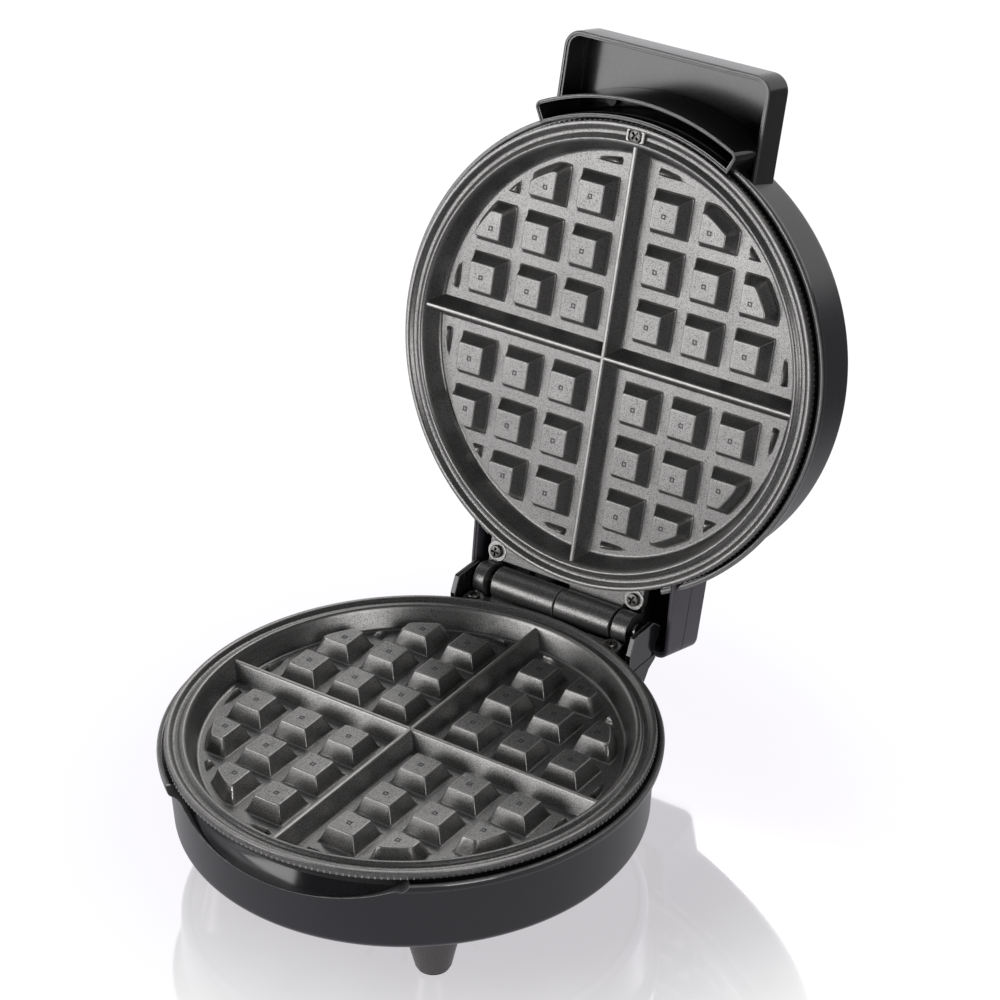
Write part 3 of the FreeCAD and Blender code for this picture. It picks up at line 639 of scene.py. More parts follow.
# %% Dish and cross rib
DISH = [(0, -10.1), (40, -10.1), (90.4, -10.1), (91.2, -9.98), (91.8, -9.65),
        (92.25, -9.1), (92.6, -8.3), (95.2, -2.7), (95.5, -1.9), (95.85, -1.15),
        (96.3, -0.6), (96.85, -0.33), (97.4, -0.3), (97.95, -0.45), (98.4, -0.85),
        (98.85, -1.4), (99.25, -1.85), (99.75, -2.1), (101.05, -2.1), (101.55, -1.85),
        (102.0, -1.35), (102.5, -0.8), (103.0, -0.42), (103.6, -0.3), (104.2, -0.3),
        (104.75, -0.45), (104.9, -0.8), (RIM_R, -1.3), (RIM_R, -3.2), (104.9, -3.55),
        (104.6, -3.75), (99.6, -5.3), (98.4, -6.4), (95.4, -13.3), (0, -13.3)]
# Painted highlight on the tops of the two rim beads.
DISH_EDGE_LIGHT = [0.3 if 95.4 < r < 97.2 or 103.4 < r < 105.2 and z > -1 else 0.0 for r, z in DISH]
RIB = [(-5.0, -10.16), (-4.55, -10.02), (-4.2, -9.7), (-3.95, -9.1), (-1.15, -2.75),
       (-1.0, -2.35), (-0.75, -2.1), (-0.4, -2.0)]
RIB_END, RIB_LIT_ABOVE = 96.2, -2.4


def cross_ribs(shape):
    section = RIB + [(-y, z) for y, z in reversed(RIB)]
    for turn in (0, 1):
        rings = []
        for along in (-RIB_END, -60, 0, 60, RIB_END):
            ring = [(along, y, z) for y, z in section]
            rings.append([(-y, x, z) for x, y, z in ring] if turn else ring)
        start = len(shape.points)
        shape.rings(rings)
        for k in range(start, len(shape.points)):
            # Painted highlight along the crest of the rib.
            if shape.points[k][2] > RIB_LIT_ABOVE:
                shape.edge_light[k] = 0.6


# %% [markdown]
# The rear of each plate carries its half of the hinge: a flat flange with two
# screws and knuckles around the pin. The knuckles are bored tubes whose ends
# are eased, so that a fine dark line shows where they meet.

# %% Flange and knuckles
def rounded(corners, radius, steps=5):
    """A polygon with every corner replaced by a short arc."""
    out = []
    count = len(corners)
    for k, here in enumerate(corners):
        here = Vector(here)
        a = (Vector(corners[k - 1]) - here).normalized()
        b = (Vector(corners[(k + 1) % count]) - here).normalized()
        half = a.angle(b) / 2
        middle = here + (a + b).normalized() * (radius / math.sin(half))
        first = here + a * (radius / math.tan(half)) - middle
        last = here + b * (radius / math.tan(half)) - middle
        for s in range(steps + 1):
            swing = first.slerp(last, s / steps).normalized() * radius
            out.append(tuple(middle + swing))
    return out


def inset(ring, amount):
    """Move a closed plane outline inwards along its own normals."""
    area = sum(a[0] * b[1] - b[0] * a[1] for a, b in zip(ring, ring[1:] + ring[:1]))
    side = 1.0 if area > 0 else -1.0
    out = []
    count = len(ring)
    for k, (x, y) in enumerate(ring):
        (ax, ay), (bx, by) = ring[k - 1], ring[(k + 1) % count]
        e1 = Vector((x - ax, y - ay)).normalized()
        e2 = Vector((bx - x, by - y)).normalized()
        n1, n2 = Vector((-e1.y, e1.x)), Vector((-e2.y, e2.x))
        n = (n1 + n2).normalized()
        n *= side * amount / max(0.35, n.dot(n1))
        out.append((x + n.x, y + n.y))
    return out


def slab(shape, full, low, high, ease, axis="z", finish=0, edge_light=0.6):
    """A plate over an outline, with eased edges, flat in z or in x."""
    slim = inset(full, ease)
    mid = inset(full, ease * 0.3)
    # The eased edges carry a painted highlight.
    rows = [(slim, low, 0), (mid, low + ease * 0.3, edge_light), (full, low + ease, 0),
            (full, high - ease, 0), (mid, high - ease * 0.3, edge_light), (slim, high, 0)]
    if axis == "x":
        rings = [[(at, a, b) for a, b in ring] for ring, at, w in rows]
    else:
        rings = [[(a, b, at) for a, b in ring] for ring, at, w in rows]
    shape.rings(rings, [w for r, a, w in rows], finish)


def box_corners(x0, x1, y0, y1):
    return [(x0, y0), (x1, y0), (x1, y1), (x0, y1)]


BARREL_R, BORE_R, EASE = 7.75, 2.62, 0.55
WEB_Y, WEB_Z = (105.5, 112.5), (-7.7, -3.5)


def knuckle(shape, x0, x1):
    # The eased ends of a knuckle carry a painted highlight.
    rows = [(x0 + EASE, BARREL_R, 0), (x0 + EASE * 0.3, BARREL_R - EASE * 0.3, 1),
            (x0, BARREL_R - EASE, 0), (x0, BORE_R, 0),
            (x1, BORE_R, 0), (x1, BARREL_R - EASE, 0),
            (x1 - EASE * 0.3, BARREL_R - EASE * 0.3, 1), (x1 - EASE, BARREL_R, 0)]
    shape.rings([[(x, y, z) for y, z in circle(r, 72, (HINGE_TO_CENTRE, 0.0))]
                 for x, r, w in rows], [w for x, r, w in rows], loop=True)
    web = rounded(box_corners(x0 + 0.3, x1 - 0.3, *WEB_Y), 0.4)
    slab(shape, web, *WEB_Z, 0.3)


FLANGE_X, FLANGE_FRONT_R = (-44.0, 39.0), 97.2


def flange_outline():
    """Square behind with rounded corners, and hidden in the dish in front."""
    back = rounded(box_corners(*FLANGE_X, 92.0, 107.3), 2.6)[12:]
    front = [(x, math.sqrt(FLANGE_FRONT_R ** 2 - x ** 2)) for x in between(*FLANGE_X, 24)]
    return front + back


# %% Plates
BASE_KNUCKLES = ((-34.0, -0.3), (31.0, 39.0))
LID_KNUCKLES = ((0.3, 29.6), (-44.0, -38.0))
FLANGE_SCREWS = ((-39.6, 103.2), (34.5, 103.4))
FRONT_SCREW = (0.0, -100.5)


def screw_seat(shape, spot):
    """The raised ring under a flange screw."""
    profile = [(0, -3.6), (4.9, -3.6), (4.9, -3.2), (4.7, -3.0), (0, -3.0)]
    # Painted highlight on the seat's upper edge.
    shape.rings(turned(profile, 48, spot), [0, 0, 0.5, 1, 0])


def front_seat(shape):
    """The square pad under the front screw, with a sunk round seat."""
    x, y = FRONT_SCREW
    square = [(x + 4.6, y + 3.1), (x - 4.6, y + 3.1), (x - 4.6, y - 3.1), (x + 4.6, y - 3.1)]
    full = rounded(square, 1.2, 15)
    slim = inset(full, 0.35)
    rings = [[(px, py, -4.6) for px, py in full], [(px, py, -0.75) for px, py in full],
             [(px, py, -0.45) for px, py in slim]]
    turn = [math.atan2(py - y, px - x) for px, py in full]
    for r, z in ((3.75, -0.45), (3.6, -0.7), (3.6, -2.65)):
        rings.append([(x + r * math.cos(a), y + r * math.sin(a), z) for a in turn])
    # Painted highlight round the pad's top edge and its seat.
    shape.rings(rings, [0, 0.2, 0.4, 0.4, 0, 0])


def plate_piece(name, body, knuckles, stands_for):
    shape = Shape()
    shape.rings(turned(DISH), DISH_EDGE_LIGHT)
    cross_ribs(shape)
    shape.take(all_studs)
    shape.take(all_teeth)
    shape.take(all_stamps, 1)
    slab(shape, flange_outline(), -8.0, -3.4, 0.6)
    for spot in FLANGE_SCREWS:
        screw_seat(shape, spot)
    for x0, x1 in knuckles:
        knuckle(shape, x0, x1)
    if body == "lid":
        front_seat(shape)
    return piece(name, shape.mesh(name, PLACES[body]), body, [non_stick, stamp_dark],
                 "plate_coated", stands_for)


plate_piece("lower_baking_plate", "base", BASE_KNUCKLES, "lower_plate")
plate_piece("upper_baking_plate", "lid", LID_KNUCKLES, "upper_plate")

# %% [markdown]
# ## The shells
# A shell is turned too, but its outline changes round the circle: the base
# has a smile-shaped finger recess in front, and both shells open at the rear
# for the hinge. So each direction gets its own profile with the same number
# of points, and the skin runs over all of them.

# %% Wall profile
LEVELS, EDGE_ROWS, BLEND_ROWS = 8, 3, 4
BAND = [(108.36, -5.3), (108.4, -5.7), (108.25, -7.3), (108.1, -7.9), (107.8, -8.25),
        (107.3, -8.45), (106.0, -8.9), (105.15, -9.5), (104.6, -10.2), (104.3, -11.0),
        (104.2, -11.8)]
# Painted highlight on a few points of the band.
BAND_EDGE_LIGHT = [0.2, 0, 0, 0.1, 0.1, 0, 0, 0, 0, 0, 0]
WALL_TOP, WALL_FOOT = (104.2, -11.8), (102.8, -37.1)
FOOT_EDGE = [(102.78, -37.4), (102.6, -38.4), (102.25, -39.3), (101.65, -40.1),
             (100.8, -40.55), (99.9, -40.7)]


def wall_radius(z):
    """The outer radius of the wall, on the band or on the cone below it."""
    if z > WALL_TOP[1]:
        return radius_at(z, BAND, BAND[0][0])
    (r0, z0), (r1, z1) = WALL_TOP, WALL_FOOT
    return r0 + (r1 - r0) * (z - z0) / (z1 - z0)


def full_profile():
    """The profile where nothing is cut away, from inside the lip down."""
    rows = [(105.9, -5.9 + 0.13 * k, 0) for k in range(LEVELS)]
    # Painted highlight on the outer edge of the lip.
    rows += [(106.15, -4.8, 0), (107.4, -4.7, 0.6), (107.95, -4.8, 1)]
    return rows + [(r, z, w) for (r, z), w in zip(BAND, BAND_EDGE_LIGHT)]


def wall_and_foot(rows):
    """The cone below the band and the round edge that the shell stands on."""
    last, foot_z = rows[-1][1], WALL_FOOT[1]
    rows += [(wall_radius(z), z, 0) for z in
             (last + (foot_z - last) * t for t in (0.12, 0.3, 0.5, 0.7, 0.88))]
    # Painted highlight on the round foot edge.
    return rows + [(r, z, 0.8 if 1 < k < 5 else 0) for k, (r, z) in enumerate(FOOT_EDGE)]


# %% Recess profile
NOTCH_HALF, NOTCH_TOP, NOTCH_R = 45.2, -9.4, 99.6
SMILE_HALF, SMILE_DROP, SMILE_Z, SMILE_R = 62.0, 15.6, -3.3, 106.0
SMILE_INSIDE = [(99.7, 0), (99.7, -9.0), (100.0, -10.0), (100.9, -12.0), (102.4, -15.5),
                (103.4, -18.5), (103.6, -20.5)]
SMILE_BEYOND, LIP_TOP, FIRST_LEVEL, GAP_Z = 104.4, -4.95, -5.5, -10.0


def smile_radius(z):
    """How far in the finger recess reaches at a height."""
    return radius_at(z, SMILE_INSIDE, SMILE_BEYOND)


def cut_levels(cut_z):
    """Heights for the pressed-in face. A deep cut keeps the ones near the gap."""
    end = cut_z + 0.02
    if cut_z < GAP_Z - 0.3:
        return [FIRST_LEVEL, -7.5, -9.0] + between(GAP_Z, end, 4)
    if cut_z == NOTCH_TOP:
        return between(cut_z + 0.05, end, LEVELS - 1)
    start = FIRST_LEVEL if cut_z < FIRST_LEVEL - 0.1 else cut_z + 0.1
    return between(start, end, LEVELS - 1)


def cut_profile(cut_z, inner):
    """The profile where everything above cut_z is pressed in to inner(z)."""
    rows = [(inner(z), z, 0) for z in cut_levels(cut_z)]
    outside = wall_radius(cut_z)
    gap = max(outside - inner(cut_z), 0.3)
    ease = min(0.5, gap * 0.5)
    # Painted highlight on the edge where the cut meets the wall.
    rows += [(outside - gap * 0.85, cut_z, 0), (outside - ease, cut_z, 0.4),
             (outside - ease * 0.3, cut_z - ease * 0.25, 1)]
    z_now = cut_z - ease
    for r, z in BAND:
        z_now = min(z, z_now - 0.04)
        rows.append((wall_radius(z_now), z_now, 0))
    return rows


# %% Shell skin
FRONT, REAR = 270, 90
SMILE_END = (30, 37.5)


def shell_angles(smile):
    """Directions round the shell, close together where the outline turns."""
    notch = math.degrees(math.asin(NOTCH_HALF / WALL_TOP[0]))
    found = set()
    a = 0.0
    while a < 359.99:
        found.add(round(a, 4))
        off_front = abs(a - FRONT)
        if smile and SMILE_END[0] < off_front < SMILE_END[1]:
            a += 0.2
        else:
            a += 1.0 if smile and off_front <= SMILE_END[0] else 1.5
    found |= {round(REAR - notch, 4), round(REAR + notch, 4)}
    found |= {round(REAR - notch + 0.01, 4), round(REAR + notch - 0.01, 4)}
    return sorted(found), notch


INSIDE_R = 99.4


def inside_wall(top):
    """Up the inside, ending just under the first point of the profile."""
    return [(INSIDE_R, -20.0, 0), (INSIDE_R, min(-9.7, top[1] - 3.2), 0),
            (min(99.5, top[0]), top[1] - 0.5, 0)]


def shell(smile, below):
    """One closed profile for each direction, and the painted edge highlight of its points."""
    angles, notch = shell_angles(smile)
    columns, edge_light = [], []
    for deg in angles:
        a = math.radians(deg)
        x = SMILE_R * math.cos(a)
        rows = full_profile()
        if abs(deg - REAR) < notch - 0.005:
            rows = cut_profile(NOTCH_TOP, lambda z: NOTCH_R)
        elif smile and math.sin(a) < 0 and abs(x) < SMILE_HALF:
            z = SMILE_Z - SMILE_DROP * math.sqrt(1 - (x / SMILE_HALF) ** 2)
            if z < LIP_TOP:
                rows = cut_profile(z, smile_radius)
        top = rows[0]
        rows = wall_and_foot(rows) + below + inside_wall(top)
        columns.append([(r * math.cos(a), r * math.sin(a), z) for r, z, w in rows])
        edge_light.append([w for r, z, w in rows])
    return columns, edge_light


def skin(shape, columns, edge_light, loop, poles=()):
    """Rings that take one point from every profile, closed by poles if given."""
    rings = [list(ring) for ring in zip(*columns)]
    glint = [list(row) for row in zip(*edge_light)]
    if poles:
        rings = [[poles[0]]] + rings + [[poles[1]]]
        glint = [[0.0]] + glint + [[0.0]]
    shape.rings(rings, glint, loop=loop)


def paint_rows(shape, count, rows, finish):
    """Give rows of faces, each count faces long, one finish."""
    for row in rows:
        for c in range(count):
            shape.finish[row * count + c] = finish


GLOSS_ROWS = LEVELS + EDGE_ROWS + len(BAND) - BLEND_ROWS
print("rows of gloss on the rim", GLOSS_ROWS)

# %% [markdown]
# The base shell has the finger recess, whose upper part takes a near-black
# finish as painted shade, a rear shelf under the knuckles and two cheeks beside
# them.

# %% Base shell
OPEN_FOOT = [(99.45, -40.5, 0), (INSIDE_R, -39.0, 0)]
RECESS_BEHIND = -70
SHELF = [(96.0, -9.6), (118.0, -9.6), (118.0, -12.0), (112.6, -15.0), (103.5, -27.0),
         (96.0, -27.0)]
SHELF_HALF = 49.2
CHEEK = [(97.0, -12.0), (97.6, -1.0), (101.5, 6.8), (117.0, 6.8), (122.3, 2.6),
         (121.0, -2.2), (112.6, -12.0)]
CHEEK_X, CHEEK_HALF = 47.4, 1.3
lower = Shape()
columns, edge_light = shell(True, OPEN_FOOT)
skin(lower, columns, edge_light, loop=True)
count = len(columns)
paint_rows(lower, count, range(GLOSS_ROWS), 1)
# Painted shade: the upper faces of the finger recess take the near-black finish.
for c, column in enumerate(columns):
    lip = max(column[LEVELS - 1][2], columns[(c + 1) % count][LEVELS - 1][2])
    if column[0][1] > RECESS_BEHIND or lip > FIRST_LEVEL - 0.1:
        continue
    for row in range(3 if lip < GAP_Z - 0.2 else LEVELS - 1):
        lower.finish[row * count + c] = 2
slab(lower, rounded(SHELF, 0.8), -SHELF_HALF, SHELF_HALF, 0.6, axis="x", finish=1)
for x in (-CHEEK_X, CHEEK_X):
    slab(lower, rounded(CHEEK, 1.2), x - CHEEK_HALF, x + CHEEK_HALF, 0.45, axis="x",
         finish=1, edge_light=1.0)
piece("lower_shell", lower.mesh("lower_shell", BASE), "base",
      [satin_shell, gloss_shell, painted_shade],
      "housing_anthracite", "lower_housing")

# %% [markdown]
# The lid shell has the same wall but a closed back. Its profiles start at the
# inner corner of that back, so that the skin ends in a pole on either side.

# %% Lid shell
CLOSED_BACK = [(INSIDE_R, -38.4, 0)]
INSIDE_POINTS = 4
upper = Shape()
columns, edge_light = [[part[-INSIDE_POINTS:] + part[:-INSIDE_POINTS] for part in parts]
                 for parts in shell(False, CLOSED_BACK)]
skin(upper, columns, edge_light, loop=False, poles=((0, 0, -38.4), (0, 0, -40.7)))
paint_rows(upper, len(columns), range(INSIDE_POINTS, INSIDE_POINTS + GLOSS_ROWS + 1), 1)
print("lid shell drawn from", len(columns), "profiles")

# %% [markdown]
# ## Nose, handle hood and rear cover
# All three are open trays with a thin wall: a floor, rounded corners and a lip.
# The lip has a small step inside, which shows as a second fine line. One
# function draws a tray over any plan outline. Where the tray runs into the
# shell its wall stays low, hidden inside the shell's own wall.

# %% Trays
def dense(points, step=2.5):
    out = []
    for a, b in zip(points, points[1:] + points[:1]):
        parts = max(1, round(math.dist(a, b) / step))
        out += [(a[0] + (b[0] - a[0]) * s / parts, a[1] + (b[1] - a[1]) * s / parts)
                for s in range(parts)]
    return out


def tray_plan(half, reach, corner, steps, root):
    """A box with two round corners, whose near side follows the shell's circle."""
    box = rounded([(half, 60), (half, reach), (-half, reach), (-half, 60)], corner, steps)
    end = math.asin(half / root)
    arc = [(-root * math.sin(end - 2 * end * k / 24), root * math.cos(end - 2 * end * k / 24))
           for k in range(25)]
    return dense([p for p in box if p[1] > 80] + arc)


def tray(shape, plan, wall, floor_d, lip_depth, groove=None, ease=1.0, finish=0, edge_light=0.8):
    """Walls and floor over a plan. lip_depth gives the lip at a plan point."""
    def ring(amount, level):
        flat = inset(plan, amount) if amount else plan
        return [(x, y, level(px, py)) for (x, y), (px, py) in zip(flat, plan)]

    def at(value):
        return lambda x, y: value

    def lip(drop):
        return lambda x, y: max(-lip_depth(x, y) - drop, -floor_d + wall + 0.02)

    rows = [(ring(ease * 1.6, at(-floor_d)), 0), (ring(ease, at(-floor_d)), 0),
            (ring(ease * 0.3, at(-floor_d + ease * 0.3)), edge_light * 0.5),
            (ring(0, at(-floor_d + ease)), 0)]
    if groove:
        for off, level in ((0, -0.35), (0.45, -0.15), (0.45, 0.15), (0, 0.35)):
            rows.append((ring(off, at(-groove + level)), 0))
    # The lip rows carry a painted highlight.
    rows += [(ring(0, lip(0.5)), 0), (ring(0.15, lip(0.15)), edge_light), (ring(0.5, lip(0.0)), edge_light),
             (ring(wall * 0.5, lip(0.0)), edge_light), (ring(wall * 0.58, lip(0.2)), 0.2),
             (ring(wall * 0.62, lip(0.55)), 0), (ring(wall * 0.92, lip(0.6)), 0.3),
             (ring(wall, lip(0.85)), 0), (ring(wall, at(-floor_d + wall + 0.9)), 0),
             (ring(wall + 0.3, at(-floor_d + wall + 0.3)), 0),
             (ring(wall + 0.9, at(-floor_d + wall)), 0),
             (ring(wall + 1.6, at(-floor_d + wall)), 0)]
    shape.rings([r for r, w in rows], [w for r, w in rows], finish)


# %% [markdown]
# In front the lid shell grows a nose: a hollow ring sector with a thin lip
# that stands past the rim, which the fingers find when the lid is hot.

# %% Nose
NOSE_R, NOSE_HALF, NOSE_CORNER, NOSE_ROOT = 116.5, math.radians(26.6), 3.2, 106.3


def polar(r, a):
    return (r * math.sin(a), -r * math.cos(a))


def nose_plan():
    middle = NOSE_R - NOSE_CORNER
    turn = NOSE_HALF - math.asin(NOSE_CORNER / middle)
    half = [polar(NOSE_R, turn * k / 20) for k in range(21)]
    cx, cy = polar(middle, turn)
    for k in range(1, 9):
        dx, dy = polar(NOSE_CORNER, turn + (NOSE_HALF + math.pi / 2 - turn) * k / 8)
        half.append((cx + dx, cy + dy))
    inner = [polar(NOSE_ROOT, NOSE_HALF * (1 - k / 20)) for k in range(21)]
    right = half + inner
    return dense(right + [(-x, y) for x, y in reversed(right[1:-1])])


def nose_lip(x, y):
    out = (math.hypot(x, y) - NOSE_ROOT) / (NOSE_R - NOSE_ROOT)
    return -0.7 - 0.8 * min(1.0, max(0.0, out))


NOSE_WALL, NOSE_DEPTH, SHADED_FROM_ROW = 1.8, 32.1, 10
before = len(upper.finish)
tray(upper, nose_plan(), NOSE_WALL, NOSE_DEPTH, nose_lip, ease=0.8, finish=1)
# Painted shade: the inside of the nose hollow takes the near-black finish.
for k in range(before + SHADED_FROM_ROW * len(nose_plan()), len(upper.finish)):
    upper.finish[k] = 2
piece("lid_shell", upper.mesh("lid_shell", LID), "lid",
      [satin_shell, gloss_shell, painted_shade],
      "housing_anthracite", "upper_housing")


# %% [markdown]
# The hood is the deep glossy tray that the hand holds. Its two sides and its
# front stand up to the lip, and the side on the shell stays low.

# %% Handle hood
HOOD_HALF, HOOD_REACH, HOOD_CORNER, HOOD_ROOT = 52.5, 136.0, 8.0, 101.0


def hood_lip(x, y):
    on_side = abs(x) > HOOD_HALF - 0.6 or y < -HOOD_REACH + HOOD_CORNER + 0.5
    return 17.5 if on_side else 31.6


hood = Shape()
hood_plan = [(-x, -y) for x, y in tray_plan(HOOD_HALF, HOOD_REACH, HOOD_CORNER, 8, HOOD_ROOT)]
tray(hood, hood_plan, 2.5, 34.7, hood_lip)
piece("handle_hood", hood.mesh("handle_hood", LID), "lid", [handle_gloss], "handle_gloss",
      "handle")

# %% [markdown]
# The rear cover hides the hinge side of the lid. Two screws sit in real round
# bores, cut with a boolean while the cover is still in millimetres.

# %% Hinge cover
COVER_HALF, COVER_Y, COVER_CORNER, COVER_ROOT = 54.0, 127.5, 5.0, 101.4
COVER_BORES, BORE_BOTTOM = ((-30.0, -21.0), (30.0, -21.0)), 126.45


def cover_lip(x, y):
    if abs(x) > COVER_HALF - 0.5 or y > COVER_Y - COVER_CORNER - 0.5:
        return 1.6 + (7.0 - 1.6) * (y - 84.0) / (COVER_Y - 84.0)
    return 30.2


def bored(mesh, spots, radius, bottom, top):
    """Sink round holes along y, where screw heads sit below the surface."""
    drill = Shape()
    for x, z in spots:
        drill.rings([[(cx, y, cz) for cx, cz in circle(radius, 40, (x, z))]
                     for y in (bottom, top)])
    made = []
    for part in (mesh, drill.mesh("drill")):
        made.append(bpy.data.objects.new("part", part))
        bpy.context.scene.collection.objects.link(made[-1])
    cut = made[0].modifiers.new("bore", "BOOLEAN")
    cut.object = made[1]
    cut.solver = "MANIFOLD"
    graph = bpy.context.evaluated_depsgraph_get()
    result = bpy.data.meshes.new_from_object(made[0].evaluated_get(graph))
    for spent in made:
        bpy.data.objects.remove(spent)
    result.materials.clear()
    return result


cover = Shape()
cover_plan = tray_plan(COVER_HALF, COVER_Y, COVER_CORNER, 6, COVER_ROOT)
tray(cover, cover_plan, 2.4, 33.5, cover_lip, groove=19.0, ease=1.6)
cover_mesh = bored(cover.mesh("cover blank"), COVER_BORES, 3.7, BORE_BOTTOM, COVER_Y + 2.5)
cover_mesh.transform(LID)
cover_mesh.flip_normals()
piece("hinge_cover", cover_mesh, "lid", [cover_matt], "housing_anthracite", "rear_cover")

# %% [markdown]
# ## Screws and feet
# The visible screws are blackened pan heads with a cross recess. One head is
# modelled with a real recess and set on its spots by the placing tree. The
# feet are moulded cones on rubber pads, placed by the same tree.

# %% Screw head
def cross_reach(a, arm, wide):
    """How far a cross recess reaches from its middle in direction a."""
    c, s = max(abs(math.cos(a)), 1e-9), max(abs(math.sin(a)), 1e-9)
    return max(min(arm / c, wide / s), min(wide / c, arm / s))


def screw_shape(radius=3.05, height=2.2, steps=48):
    # Painted highlight round the rim of the head.
    rim = [(radius * 0.80, height - 0.02, 0.3), (radius * 0.9, height - 0.1, 1),
           (radius * 0.97, height - 0.4, 0.6), (radius, height - 0.85, 0), (radius, 0, 0)]
    turn = [math.tau * i / steps for i in range(steps)]
    rings = []
    for share, drop in ((0.7, 1.3), (0.97, 0.15), (1, 0)):
        reach = [share * cross_reach(a, radius * 0.72, radius * 0.19) for a in turn]
        rings.append([(r * math.cos(a), r * math.sin(a), height - drop)
                      for a, r in zip(turn, reach)])
    rings += turned([(r, z) for r, z, w in rim], steps)
    return Shape().rings(rings, [0, 0, 0.4] + [w for r, z, w in rim])


head = screw_shape()
LOW_SPOTS = [(x, y, -3.35) for x, y in FLANGE_SCREWS]
LID_SPOTS = LOW_SPOTS + [(*FRONT_SCREW, -2.6)]
for name, body, spots, step, node_name in (
        ("base_flange_screws", "base", LOW_SPOTS, 0.5, "lower_plate_screws"),
        ("lid_plate_screws", "lid", LID_SPOTS, 0.4, "upper_plate_screws")):
    screws = Shape().take(repeat(head, ON_POINTS, points=spots, step=step, coat=black_screw))
    piece(name, screws.mesh(name, PLACES[body]), body, [black_screw], "screw_steel", node_name)

# %% [markdown]
# A foot is a moulded cone, and a soft pad fills its open end.

# %% Feet and pads
FEET = [(55, -62, 0), (-55, -62, 0), (30, 81, 0), (-30, 81, 0)]
cone = Shape()
# Painted highlight on the foot's lower edge and upper rim.
cone.rings(turned([(0, -63.9), (6.3, -63.9), (7.0, -63.75), (7.5, -63.4), (7.8, -62.8),
                   (9.7, -54.6), (12.9, -42.4), (13.25, -41.2), (13.2, -40.8), (0, -40.8)], 48),
           [0, 0, 0.3, 0.3, 0, 0, 0, 0.5, 0, 0])
feet = Shape().take(repeat(cone, ON_POINTS, points=FEET, coat=foot_plastic))
piece("cone_feet", feet.mesh("cone_feet", BASE), "base", [foot_plastic], "foot_plastic",
      "foot_front_right", "foot_front_left", "foot_rear_right", "foot_rear_left")
pad = Shape()
pad.rings(turned([(0, -65), (5.8, -65), (6.5, -64.85), (6.9, -64.5), (7.0, -64.1),
                  (7.0, -63.5), (6.5, -63.0), (0, -63.0)], 48))
pads = Shape().take(repeat(pad, ON_POINTS, points=FEET, coat=rubber))
piece("rubber_pads", pads.mesh("rubber_pads", BASE), "base", [rubber], "pad_rubber",
      "foot_pads")

# %% [markdown]
# ## Pieces kept from the frame
# The pin, the gland, the vent plate and all the heating parts already have
# their right shape. They keep their meshes. A small node tree joins their
# loose triangles and smooths only the soft bends, and each gets its finish.

# %% Kept pieces
def soften_tree():
    tree = bpy.data.node_groups.new("join and soften", "GeometryNodeTree")
    sockets(tree, "INPUT", [("Mesh", "NodeSocketGeometry", None),
                            ("Join distance", FLOAT, 0.000002),
                            ("Soft below", FLOAT, math.radians(30))])
    sockets(tree, "OUTPUT", [("Mesh", "NodeSocketGeometry", None)])
    given = node(tree, "NodeGroupInput")
    out = node(tree, "NodeGroupOutput")
    join = node(tree, "GeometryNodeMergeByDistance")
    bend = node(tree, "GeometryNodeInputMeshEdgeAngle")
    soft = node(tree, "FunctionNodeCompare", data_type="FLOAT", operation="LESS_THAN")
    faces = node(tree, "GeometryNodeSetShadeSmooth", domain="FACE")
    edges = node(tree, "GeometryNodeSetShadeSmooth", domain="EDGE")
    link = linker(tree)
    link(given, "Mesh", join, "Geometry")
    link(given, "Join distance", join, "Distance")
    link(join, 0, faces, 0)
    link(faces, 0, edges, 0)
    link(bend, "Unsigned Angle", soft, 0)
    link(given, "Soft below", soft, 1)
    link(soft, 0, edges, "Shade Smooth")
    link(edges, 0, out, "Mesh")
    return tree


SOFTEN = soften_tree()
KEPT = {
    "hinge_pin": bright_steel, "cord_gland": gland_black, "bottom_cover": vent_steel,
    "foot_screws": bright_steel, "rear_cover_screws": black_screw,
    # Painted shade: the handle screws, deep in the hollow, take the near-black finish.
    "handle_screws": painted_shade, "terminal_block": block_white,
    "lower_heater": element_skin, "upper_heater": element_skin,
    "lower_reflector": plated_sheet, "upper_reflector": plated_sheet,
    "lower_heater_clamps": plated_sheet, "upper_heater_clamps": plated_sheet,
    "base_thermostat": ceramic, "lid_thermostat": ceramic,
    "base_thermal_fuse": fuse_case, "lid_thermal_fuse": fuse_case,
    "lamp_lens_left": lens_red, "lamp_lens_right": lens_green, "lamp_holder": block_white,
}
for name, coat in KEPT.items():
    kept = frame["nodes"][name]
    kept.data.materials.clear()
    kept.data.materials.append(coat)
    softened = kept.modifiers.new("join and soften", "NODES")
    softened.node_group = SOFTEN
print("kept", len(KEPT), "nodes")

# %% [markdown]
# ## Studio
# A white sweep behind and below, two soft boxes in front, and a dark room
# overhead and around the camera. The upward faces stay deep and the forward
# faces shine. The floor shows a reflection only close to the feet, where it
# fades into white.

# %% Floor
def ramp(tree, low, high, start, end):
    """A soft step from one value to another."""
    return node(tree, "ShaderNodeMapRange",
                {"From Min": low, "From Max": high, "To Min": start, "To Max": end},
                interpolation_type="SMOOTHSTEP")


